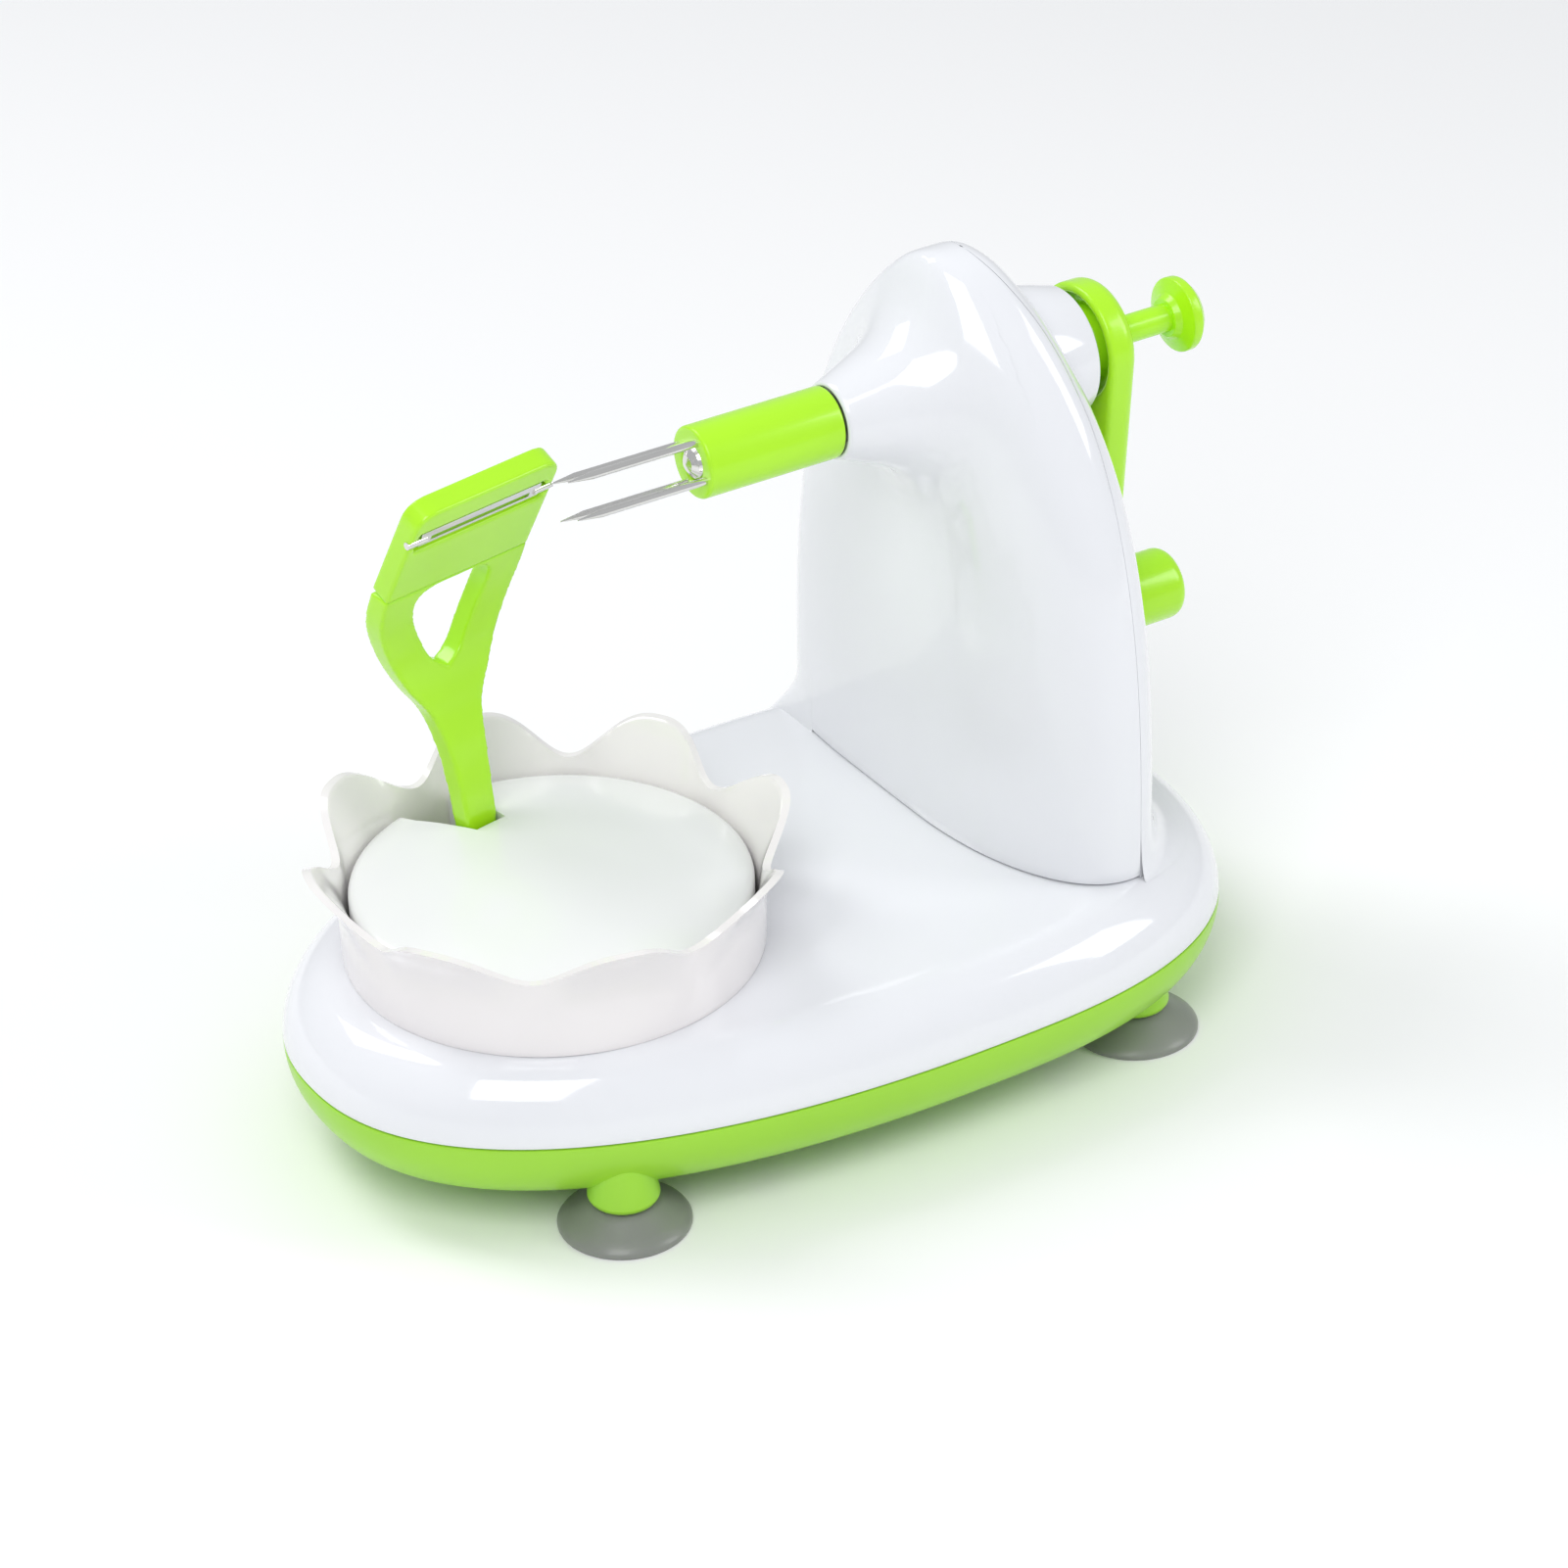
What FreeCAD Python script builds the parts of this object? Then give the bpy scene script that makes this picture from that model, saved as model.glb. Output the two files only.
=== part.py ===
"""Hand-cranked apple peeler on a suction base.

A crank turns a hollow shaft that carries a four-pronged fork. A pair of mitre gears in the tower
and a two-stage spur train in the base turn the domed table slowly, so its sprung peeling arm sweeps
round the fruit. A rod through the hollow shaft pushes the fruit off the fork.

Millimetres, +Z up. The origin is the centre of the footprint on the table: +X points to the crank,
+Y to the side where the peeling arm rests.
"""
import FreeCAD, Part
import math
import os
import re

import Sketcher
from FreeCAD import Placement, Rotation, Vector

DIMENSIONS = {
    # whole object
    "OverallLength": 200.0,
    "OverallWidth": 120.0,
    "OverallHeight": 155.0,
    "ForkHeight": 127.0,
    "Wall": 2.2,
    # base
    "BaseRear": 90.0,
    "BaseWidest": 15.0,
    "FrontSquareness": 2.25,
    "RearSquareness": 2.7,
    "FloorUnderside": 7.0,
    "SeamHeight": 22.0,
    "BaseTop": 36.0,
    "TopShoulder": 11.5,
    "BottomShoulder": 12.0,
    # suction cups
    "CupAlong": 58.0,
    "CupAcross": 41.7,
    "CupRadius": 12.6,
    "CupNeck": 5.6,
    "StubRadius": 6.8,
    # tower
    "TowerWidest": 45.0,
    "TowerHalfWidth": 48.5,
    "TowerFrontDepth": 10.8,
    "TowerRearDepth": 25.7,
    "CoverEdge": 57.0,
    # nose and boss that carry the main shaft
    "NoseRim": 16.5,
    "NoseRadius": 7.4,
    "BossRim": 69.7,
    "BossRadius": 12.5,
    # turntable
    "TableX": -47.0,
    "TableRadius": 38.2,
    "TableEdge": 49.7,
    "TableDome": 6.0,
    "TableOpening": 36.0,
    "TableRestAngle": 11.0,
    "SlotWidth": 7.0,
    "SlotMouth": 12.6,
    "SlotInner": 17.0,
    "PostRadius": 5.0,
    "CarrierTop": 29.5,
    # peel bowl
    "BowlRadius": 40.6,
    "BowlWall": 1.6,
    "BowlTipRadius": 47.0,
    "BowlTipHeight": 60.0,
    "BowlValleyHeight": 52.5,
    "BowlPetals": 8.0,
    "BowlPhase": 10.0,
    # peeling arm, in the upright plane through the table's axis
    "ArmPivotRadius": 21.5,
    "ArmPivotHeight": 38.0,
    "ArmPivotPin": 1.5,
    "ArmThickness": 4.6,
    "ArmHalfWidth": 17.0,
    "ArmJoint": 107.0,
    "HolderTop": 129.0,
    "HolderTopRadius": 12.5,
    "BladeHalf": 14.3,
    "BladeWidth": 3.8,
    "BladeProud": 1.7,
    # fork
    "SleeveFront": -13.0,
    "SleeveRear": 16.2,
    "SleeveRadius": 7.0,
    "ProngTip": -40.0,
    "ProngRadius": 0.75,
    "ProngCircle": 5.0,
    "ProngAngle": 20.0,
    # main shaft and ejector
    "ShaftRadius": 5.0,
    "ShaftFront": -8.0,
    "ShaftRear": 76.6,
    "ShaftBore": 2.9,
    "SpringPocket": 4.0,
    "SpringSeat": 56.0,
    "RodRadius": 2.8,
    "CollarFront": 73.4,
    "ButtonFront": 94.5,
    "ButtonRadius": 7.4,
    # crank
    "CrankFront": 72.5,
    "CrankRear": 78.8,
    "CrankHub": 12.3,
    "CrankEnd": 6.4,
    "CrankCup": 10.4,
    "CrankReach": 58.0,
    "GripRadius": 7.2,
    "GripEnd": 95.4,
    # gears
    "SpurModule": 1.5,
    "MitreModule": 1.25,
    "MitreTeeth": 16.0,
    "MitreFace": 3.2,
    "LayShaftX": 50.5,
    "LayShaftRadius": 2.5,
    "LayPinionTeeth": 12.0,
    "IdlerX": 5.5,
    "IdlerLargeTeeth": 48.0,
    "IdlerSmallTeeth": 14.0,
    "TableTeeth": 56.0,
    "TableGearBottom": 13.0,
    "IdlerLargeBottom": 20.0,
    "Backlash": 0.24,
    "RunningGap": 0.05,
}

doc = FreeCAD.newDocument("apple_peeler")
sheet = doc.addObject("Spreadsheet::Sheet", "Dimensions")
for row, (alias, value) in enumerate(DIMENSIONS.items(), start=1):
    sheet.set(f"A{row}", alias)
    sheet.set(f"B{row}", str(value))
    sheet.setAlias(f"B{row}", alias)
doc.recompute()

PARTS = []


# ---------------------------------------------------------------- sizes from the sheet
def size(expression):
    """The number that an expression over the sheet's aliases gives."""
    return float(sheet.evalExpression(str(expression)))


def bound(expression):
    """The same expression, written so that another object can use it."""
    return re.sub(r"\b([A-Z][A-Za-z]+)\b", r"Dimensions.\1", str(expression))


def keep(item, label):
    """Registers a finished sub-part under the name its file gets."""
    item.Label = label
    PARTS.append(item)
    return item


def place(item, along="0", across="0", up="0", rotation=None):
    """Moves an object to a place that follows the sheet."""
    if rotation is not None:
        item.Placement = Placement(Vector(), rotation)
    for axis, expression in zip("xyz", (along, across, up)):
        item.setExpression(f"Placement.Base.{axis}", bound(expression))
    return item


# ---------------------------------------------------------------- sketches and bodies
def new_sketch(body, name, plane="XZ_Plane"):
    """A sketch on one of the body's own origin planes."""
    sketch = body.newObject("Sketcher::SketchObject", name)
    support = next(feature for feature in body.Origin.OriginFeatures if feature.Role == plane)
    sketch.AttachmentSupport = [(support, "")]
    sketch.MapMode = "FlatFace"
    return sketch


def polygon(sketch, corners):
    """A closed outline whose corners are pairs of expressions over the sheet."""
    points = [(size(u), size(v)) for u, v in corners]
    first = sketch.GeometryCount
    count = len(points)
    for start, end in zip(points, points[1:] + points[:1]):
        sketch.addGeometry(Part.LineSegment(Vector(*start, 0), Vector(*end, 0)), False)
    for i in range(count):
        sketch.addConstraint(Sketcher.Constraint("Coincident", first + i, 2, first + (i + 1) % count, 1))
    for i, corner in enumerate(corners):
        for kind, expression, value in zip(("DistanceX", "DistanceY"), corner, points[i]):
            index = sketch.addConstraint(Sketcher.Constraint(kind, -1, 1, first + i, 1, value))
            sketch.setExpression(f"Constraints[{index}]", bound(expression))


def turned(label, corners, axis="V_Axis"):
    """A body turned from one outline: V_Axis stands along Z, H_Axis lies along X."""
    body = doc.addObject("PartDesign::Body", label)
    sketch = new_sketch(body, label + "_profile")
    polygon(sketch, corners)
    feature = body.newObject("PartDesign::Revolution", label + "_turned")
    feature.Profile = sketch
    feature.ReferenceAxis = (sketch, [axis])
    feature.Angle = 360
    doc.recompute()
    return body


def padded(label, corners, length, plane="XZ_Plane"):
    """A body padded to both sides of its sketch plane."""
    body = doc.addObject("PartDesign::Body", label)
    sketch = new_sketch(body, label + "_profile", plane)
    polygon(sketch, corners)
    feature = body.newObject("PartDesign::Pad", label + "_pad")
    feature.Profile = sketch
    feature.setExpression("Length", bound(length))
    feature.Midplane = True
    doc.recompute()
    return body


def rounded(body, radius, chosen):
    """Rounds the edges of a body that the test chooses."""
    tip = body.Tip
    names = [f"Edge{i}" for i, edge in enumerate(tip.Shape.Edges, start=1) if chosen(edge)]
    if not names:
        raise RuntimeError(f"{body.Label}: no edge to round")
    fillet = body.newObject("PartDesign::Fillet", body.Label + "_fillet")
    fillet.Base = (tip, names)
    fillet.setExpression("Radius", bound(radius))
    doc.recompute()
    return body


def ring_at(radius=None, along=None, up=None):
    """Chooses full circular edges by radius and by the place of their centre."""
    def chosen(edge):
        curve = edge.Curve
        if not isinstance(curve, Part.Circle):
            return False
        if radius is not None and abs(curve.Radius - size(radius)) > 0.01:
            return False
        if along is not None and abs(curve.Center.x - size(along)) > 0.01:
            return False
        return up is None or abs(curve.Center.z - size(up)) < 0.01
    return chosen


# ---------------------------------------------------------------- primitives and booleans
def cylinder(name, radius, height, along="0", across="0", up="0", direction="Z"):
    """A cylinder that starts at a point and runs along +X, +Y or +Z."""
    item = doc.addObject("Part::Cylinder", name)
    item.setExpression("Radius", bound(radius))
    item.setExpression("Height", bound(height))
    turns = {
        "X": Rotation(Vector(0, 1, 0), 90),
        "Y": Rotation(Vector(1, 0, 0), -90),
        "Z": Rotation(),
    }
    return place(item, along, across, up, turns[direction])


def cut(name, base, tool):
    item = doc.addObject("Part::Cut", name)
    item.Base = base
    item.Tool = tool
    return item


def solid_feature(name, shape):
    """An object that holds a shape worked out with Part's own functions."""
    item = doc.addObject("Part::Feature", name)
    item.Shape = shape
    return item


# ---------------------------------------------------------------- lofted shells
def egg_outline(inset, height, count=40):
    """The base's outline at one height: a long front half and a blunt rear half."""
    widest = size("BaseWidest")
    half_width = size("OverallWidth / 2") - inset
    points = []
    for i in range(count):
        angle = 2 * math.pi * i / count
        c, s = math.cos(angle), math.sin(angle)
        reach = size("BaseRear") - widest if c > 0 else size("OverallLength / 2") + widest
        power = size("RearSquareness") if c > 0 else size("FrontSquareness")
        scale = (abs(c) ** power + abs(s) ** power) ** (-1 / power)
        points.append(Vector(widest + (reach - inset) * c * scale, half_width * s * scale, height))
    curve = Part.BSplineCurve()
    curve.interpolate(points, PeriodicFlag=True)
    return Part.Wire([curve.toShape()])


def base_body(shrink, seam, end, shoulder, steps=6):
    """A loft from the seam to a flat face, with an elliptical shoulder between them."""
    wires = []
    for i in range(steps + 1):
        angle = math.pi / 2 * i / steps
        inset = shoulder * (1 - math.cos(angle)) + shrink
        wires.append(egg_outline(inset, seam + (end - seam) * math.sin(angle)))
    return Part.makeLoft(wires, True, False)


TOP_LEVEL = 0.988


def tower_outline(level, shrink, count=48):
    """The tower's outline at a level from 0 at its foot to 1 at its crown.

    The side that the table's arm rests on is squarer and widest further forward than the other side.
    """
    foot = size("BaseTop")
    half_width = size("TowerHalfWidth") * (1 - level ** 2.95) ** 0.77 - shrink
    front = size("TowerFrontDepth") * (1 - level ** 6.3) ** 0.26 - shrink
    rear = size("TowerRearDepth") * (1 - level ** 3.97) ** 0.72 - shrink
    rise = level + (1 - TOP_LEVEL) * (level / TOP_LEVEL) ** 12
    height = foot + (size("OverallHeight") - foot - shrink) * rise
    setback = 0.39 * rear
    points = []
    for i in range(count):
        angle = 2 * math.pi * (i + 0.5) / count
        c, s = math.cos(angle), math.sin(angle)
        if s > 0:
            middle, reach, side = 0.0, half_width, (5.0, 2.5)
        else:
            middle, reach, side = setback, 0.924 * half_width, (2.1, 2.2)
        depth = front + middle if c < 0 else rear - middle
        power = side[0] if c < 0 else side[1]
        scale = (abs(c) ** power + abs(s) ** power) ** (-1 / power)
        points.append(Vector(size("TowerWidest") + middle + depth * c * scale, reach * s * scale, height))
    curve = Part.BSplineCurve()
    curve.interpolate(points, PeriodicFlag=True)
    return Part.Wire([curve.toShape()])


TOWER_LEVELS = (0.0, 0.15, 0.3, 0.45, 0.58, 0.69, 0.78, 0.85, 0.905, 0.945, 0.972, TOP_LEVEL)


def tower_body(shrink):
    return Part.makeLoft([tower_outline(level, shrink) for level in TOWER_LEVELS], True, False)


def turned_shape(points, axis):
    """A solid turned about the X or Z axis from (along axis, radius) corners."""
    corners = [Vector(a, 0, r) if axis == "X" else Vector(r, 0, a) for a, r in points]
    wire = Part.makePolygon(corners + corners[:1])
    direction = Vector(1, 0, 0) if axis == "X" else Vector(0, 0, 1)
    return Part.Face(wire).revolve(Vector(), direction, 360)


# ---------------------------------------------------------------- gears
def gear_wire(teeth, module, height, scale=1.0, phase=0.0, addendum=1.0):
    """A closed involute outline; phase turns it so that a tooth lies at that angle."""
    pressure = math.radians(20)
    pitch = teeth * module / 2
    base = pitch * math.cos(pressure)
    root = pitch - 1.25 * module
    tip = pitch + addendum * module
    half_tooth = math.pi / (2 * teeth) - size("Backlash") / (4 * pitch)
    involute = math.tan(pressure) - pressure

    def at(radius, angle):
        return Vector(scale * radius * math.cos(angle), scale * radius * math.sin(angle), height)

    def half_angle(radius):
        if radius <= base:
            return half_tooth + involute
        roll = math.acos(base / radius)
        return half_tooth + involute - (math.tan(roll) - roll)

    start = max(root, base)
    levels = [start + (tip - start) * i / 3 for i in range(4)]
    edges = []
    for tooth in range(teeth):
        centre = phase + 2 * math.pi * tooth / teeth
        following = centre + 2 * math.pi / teeth
        rising = [at(r, centre - half_angle(r)) for r in levels]
        falling = [at(r, centre + half_angle(r)) for r in reversed(levels)]
        next_start = at(start, following - half_angle(start))
        root_left = at(root, centre + half_angle(root))
        root_right = at(root, following - half_angle(root))
        for flank in (rising, falling):
            curve = Part.BSplineCurve()
            curve.interpolate(flank)
            edges.append(curve.toShape())
            if flank is rising:
                edges.append(Part.Arc(rising[-1], at(tip, centre), falling[0]).toShape())
        if start > root:
            edges.append(Part.LineSegment(falling[-1], root_left).toShape())
        edges.append(Part.Arc(root_left, at(root, centre + math.pi / teeth), root_right).toShape())
        if start > root:
            edges.append(Part.LineSegment(root_right, next_start).toShape())
    return Part.Wire(Part.__sortEdges__(edges))


def spur(teeth, low, high, phase=0.0, addendum=1.0):
    wire = gear_wire(teeth, size("SpurModule"), low, 1.0, phase, addendum)
    return Part.Face(wire).extrude(Vector(0, 0, high - low))


def mitre(phase):
    """A mitre gear's toothed part, its cone's point at the origin and its back towards -Z."""
    teeth = int(size("MitreTeeth"))
    reach = size("MitreModule * MitreTeeth / 2")
    inner = 1 - size("MitreFace") / reach
    wires = [gear_wire(teeth, size("MitreModule"), -reach * s, s, phase, 0.8) for s in (1.0, inner)]
    return Part.makeLoft(wires, True, True)


def helix_spring(radius, wire, length, turns, start):
    """A coil along Z from the origin, its wire a plain round section."""
    path = Part.makeHelix(length / turns, length, radius)
    section = Part.Wire([Part.makeCircle(wire / 2, Vector(radius, 0, 0), Vector(0, 1, 0))])
    coil = Part.Wire(path.Edges).makePipeShell([section], True, True)
    coil.translate(start)
    return coil


def screw_shape(head, head_height, shank, length):
    """A pan-head screw pointing up: head below the origin, shank above it, cross slot in the head."""
    body = Part.makeCylinder(head, head_height, Vector(0, 0, -head_height))
    rim = [edge for edge in body.Edges if isinstance(edge.Curve, Part.Circle) and edge.Curve.Center.z < -0.1]
    body = body.makeFillet(head_height * 0.4, rim)
    body = body.fuse(Part.makeCylinder(shank, length))
    for turn in (0, 90):
        slot = Part.makeBox(head * 1.2, head * 0.3, head_height * 0.5,
                            Vector(-head * 0.6, -head * 0.15, -head_height))
        slot.rotate(Vector(), Vector(0, 0, 1), turn)
        body = body.cut(slot)
    return body.removeSplitter()


# ================================================================ base shells
CUPS = [(size("CupAlong") * i, size("CupAcross") * j) for i in (-1, 1) for j in (1, -1)]
BASE_SCREWS = [(-30.0, 47.5), (-30.0, -47.5), (36.0, 48.0), (36.0, -48.0), (79.0, 0.0)]
TOWER_SCREWS = [(47.5, 33.0), (47.5, -33.0), (62.0, 24.0), (62.0, -24.0)]
COVER_SCREWS = [(36.0, 62.0), (-36.0, 62.0), (20.0, 118.0), (-20.0, 118.0)]
COVER_GRIP = 3.0


def rods(radius, low, high, places):
    """Upright rods of one size at several places."""
    return [Part.makeCylinder(radius, high - low, Vector(x, y, low)) for x, y in places]


def base_shells():
    """The white top shell and the green bottom shell, with their bosses, and the stubs for the feet."""
    wall = size("Wall")
    seam = size("SeamHeight")
    top = size("BaseTop")
    floor = size("FloorUnderside")
    inside = floor + wall
    table = [(size("TableX"), 0)]
    lay = [(size("LayShaftX"), 0)]
    idler = [(size("IdlerX"), 0)]

    outer = base_body(0.0, seam, top, size("TopShoulder"))
    upper = outer.cut(base_body(wall, seam, top - wall, size("TopShoulder") - wall / 2))
    bosses = Part.makeCompound(rods(4.5, top - wall - 3.3, top - wall + 0.5, idler)
                               + rods(3.6, seam + 0.2, top - wall + 0.5, BASE_SCREWS))
    upper = upper.fuse(bosses.common(outer).Solids)
    upper = upper.cut(rods(2.0, top - wall - 4, top - wall - 0.2, idler)
                      + rods(1.3, seam, top - wall - 1, BASE_SCREWS)
                      + rods(size("TableOpening"), top - 9, top + 1, table)
                      + rods(4.0, top - 9, top + 1, lay)
                      + rods(1.8, top - 9, top + 1, TOWER_SCREWS))
    keep(solid_feature("BaseTopShell", upper), "base_top_shell")

    stub = size("StubRadius")
    stubs = [Part.makeCone(stub, stub - 1.6, 10, Vector(x, y, floor - 1.2)) for x, y in CUPS]
    outer = base_body(0.0, seam, floor, size("BottomShoulder")).fuse(stubs)
    lower = outer.cut(base_body(wall, seam, inside, size("BottomShoulder") - wall / 2))
    lower = lower.common(Part.makeBox(400, 400, seam, Vector(-200, -200, 0)))
    bosses = Part.makeCompound(rods(4.5, inside - 0.5, inside + 3, idler)
                               + rods(6.2, inside - 0.5, 15, lay)
                               + rods(5.6, inside - 0.5, 12.4, CUPS)
                               + rods(4.4, inside - 0.5, seam, BASE_SCREWS))
    lower = lower.fuse(bosses.common(outer).Solids + rods(size("PostRadius"), inside - 0.5, 28, table))
    lower = lower.cut(rods(1.6, 16.5, 28.5, table)
                      + rods(2.0, inside, seam, idler)
                      + rods(4.0, inside, seam, lay)
                      + rods(3.0, floor - 1.5, 11.8, CUPS)
                      + rods(1.8, 0, seam + 1, BASE_SCREWS)
                      + rods(3.4, 0, 11, BASE_SCREWS))
    keep(solid_feature("BaseBottomShell", lower), "base_bottom_shell")


def suction_cups():
    """Four rubber cups, each with a thin bell and a barbed stem that snaps into its stub."""
    corners = [
        ("0", "CupNeck + 6"),
        ("2.9", "CupNeck + 6"),
        ("2.9", "CupNeck"),
        ("StubRadius - 0.6", "CupNeck"),
        ("StubRadius + 0.2", "CupNeck - 1.3"),
        ("CupRadius - 2.2", "2.3"),
        ("CupRadius", "0.9"),
        ("CupRadius", "0"),
        ("CupRadius - 0.9", "0"),
        ("CupRadius - 3.4", "1.3"),
        ("StubRadius - 1.5", "3"),
        ("0", "3.6"),
    ]
    names = ("front_left", "front_right", "rear_left", "rear_right")
    for name, along, across in zip(names, ("-CupAlong", "-CupAlong", "CupAlong", "CupAlong"),
                                   ("CupAcross", "-CupAcross") * 2):
        cup = turned(f"SuctionCup_{name}", corners)
        keep(place(cup, along, across), f"suction_cup_{name}")


# ================================================================ tower
def across_rods(radius, start, end, places):
    """Rods along +X between two stations, at several places given as (y, z)."""
    return [Part.makeCylinder(radius, end - start, Vector(start, y, z), Vector(1, 0, 0)) for y, z in places]


def cover_side():
    """The space in front of the joint between the two shells, which leans forward over the crown."""
    edge = size("CoverEdge")
    crown = Part.BSplineCurve()
    crown.interpolate([Vector(edge, 0, 118), Vector(edge - 0.8, 0, 130), Vector(edge - 3.2, 0, 141),
                       Vector(edge - 7.5, 0, 150), Vector(edge - 13, 0, 158)])
    corners = [Vector(edge - 13, 0, 158), Vector(-60, 0, 158), Vector(-60, 0, 0), Vector(edge, 0, 0),
               Vector(edge, 0, 118)]
    sides = [Part.LineSegment(start, end).toShape() for start, end in zip(corners, corners[1:])]
    face = Part.Face(Part.Wire(Part.__sortEdges__([crown.toShape()] + sides)))
    return face.extrude(Vector(0, 200, 0)).translated(Vector(0, -100, 0))


def tower_shells():
    """The front cover with its nose, and the rear shell with the crank boss and the bearing shelf."""
    wall = size("Wall")
    edge = size("CoverEdge")
    foot = size("BaseTop")
    axis = [(0, size("ForkHeight"))]
    outer = tower_body(0.0)
    hollow = tower_body(wall)
    shell = outer.cut(hollow)
    floor = Part.makeBox(100, 120, wall, Vector(0, -60, foot)).common(outer)
    shell = shell.fuse(floor)
    before = cover_side()

    rim = size("NoseRim")
    radius = size("NoseRadius")
    nose = turned_shape([(rim, 0), (rim, radius - 0.5), (rim + 0.5, radius), (rim + 5, radius + 1.4),
                         (rim + 9, radius + 3.2), (rim + 13, radius + 6), (rim + 16.5, radius + 8.6),
                         (rim + 24, radius + 10.5), (rim + 24, 0)], "X")
    nose.translate(Vector(0, 0, size("ForkHeight")))
    nose = nose.cut(hollow)
    front = shell.common(before)
    posts = Part.makeCompound(across_rods(3.4, edge - 30, edge, COVER_SCREWS)
                              + rods(3.6, foot + 1, foot + 12, TOWER_SCREWS[:2])).common(outer)
    front = front.fuse([nose] + posts.Solids)
    front = front.cut(rods(1.3, foot - 1, foot + 11, TOWER_SCREWS[:2])
                      + across_rods(6.5, rim - 1, rim + 25, axis)
                      + across_rods(1.2, edge - 8, edge + 1, COVER_SCREWS)
                      + rods(4.0, foot - 1, foot + 4, [(size("LayShaftX"), 0)]))
    keep(solid_feature("TowerFrontCover", front), "tower_front_cover")

    boss_rim = size("BossRim")
    boss_radius = size("BossRadius")
    boss = turned_shape([(boss_rim - 16, 0), (boss_rim - 16, boss_radius + 2.4),
                         (boss_rim - 9, boss_radius + 2), (boss_rim - 0.6, boss_radius),
                         (boss_rim, boss_radius - 0.6), (boss_rim, 0)], "X")
    boss.translate(Vector(0, 0, size("ForkHeight")))
    boss = boss.cut([hollow, before])
    shelf = Part.makeBox(30, 24, 4, Vector(size("TowerWidest") + 0.3, -12, 99)).common(outer)
    rear = shell.cut(before)
    posts = Part.makeCompound(across_rods(3.4, edge, edge + 30, COVER_SCREWS)).common(outer)
    rear = rear.fuse([boss, shelf] + posts.Solids + rods(3.6, foot + 1, foot + 12, TOWER_SCREWS[2:]))
    rear = rear.cut(across_rods(8.0, boss_rim - 9, boss_rim + 1, axis)
                    + across_rods(6.0, edge - 6, boss_rim - 8, axis)
                    + across_rods(1.5, edge - 1, edge + 40, COVER_SCREWS)
                    + across_rods(2.9, edge + COVER_GRIP, edge + 40, COVER_SCREWS)
                    + rods(4.5, 96, 106, [(size("LayShaftX"), 0)])
                    + rods(1.3, foot - 1, foot + 11, TOWER_SCREWS[2:]))
    keep(solid_feature("TowerRearShell", rear), "tower_rear_shell")


def fasteners():
    """Screw groups: each node holds one group of identical screws."""
    top = size("BaseTop")
    base = [screw_shape(3.0, 2.0, 1.3, 19.0).translated(Vector(x, y, 11)) for x, y in BASE_SCREWS]
    keep(solid_feature("BaseScrews", Part.makeCompound(base)), "base_screws")
    tower = [screw_shape(3.0, 1.8, 1.3, 10.0).translated(Vector(x, y, top - size("Wall")))
             for x, y in TOWER_SCREWS]
    keep(solid_feature("TowerScrews", Part.makeCompound(tower)), "tower_screws")
    cover = []
    for y, z in COVER_SCREWS:
        screw = screw_shape(2.6, 1.8, 1.2, COVER_GRIP + 7.5)
        screw.rotate(Vector(), Vector(0, 1, 0), -90)
        screw.translate(Vector(size("CoverEdge") + COVER_GRIP, y, z))
        cover.append(screw)
    keep(solid_feature("CoverScrews", Part.makeCompound(cover)), "cover_screws")
    post_screw = screw_shape(3.6, 2.2, 1.6, 9.0)
    post_screw.rotate(Vector(), Vector(1, 0, 0), 180)
    post_screw.translate(Vector(size("TableX"), 0, 28.6))
    keep(solid_feature("TableScrew", post_screw), "table_screw")


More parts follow.
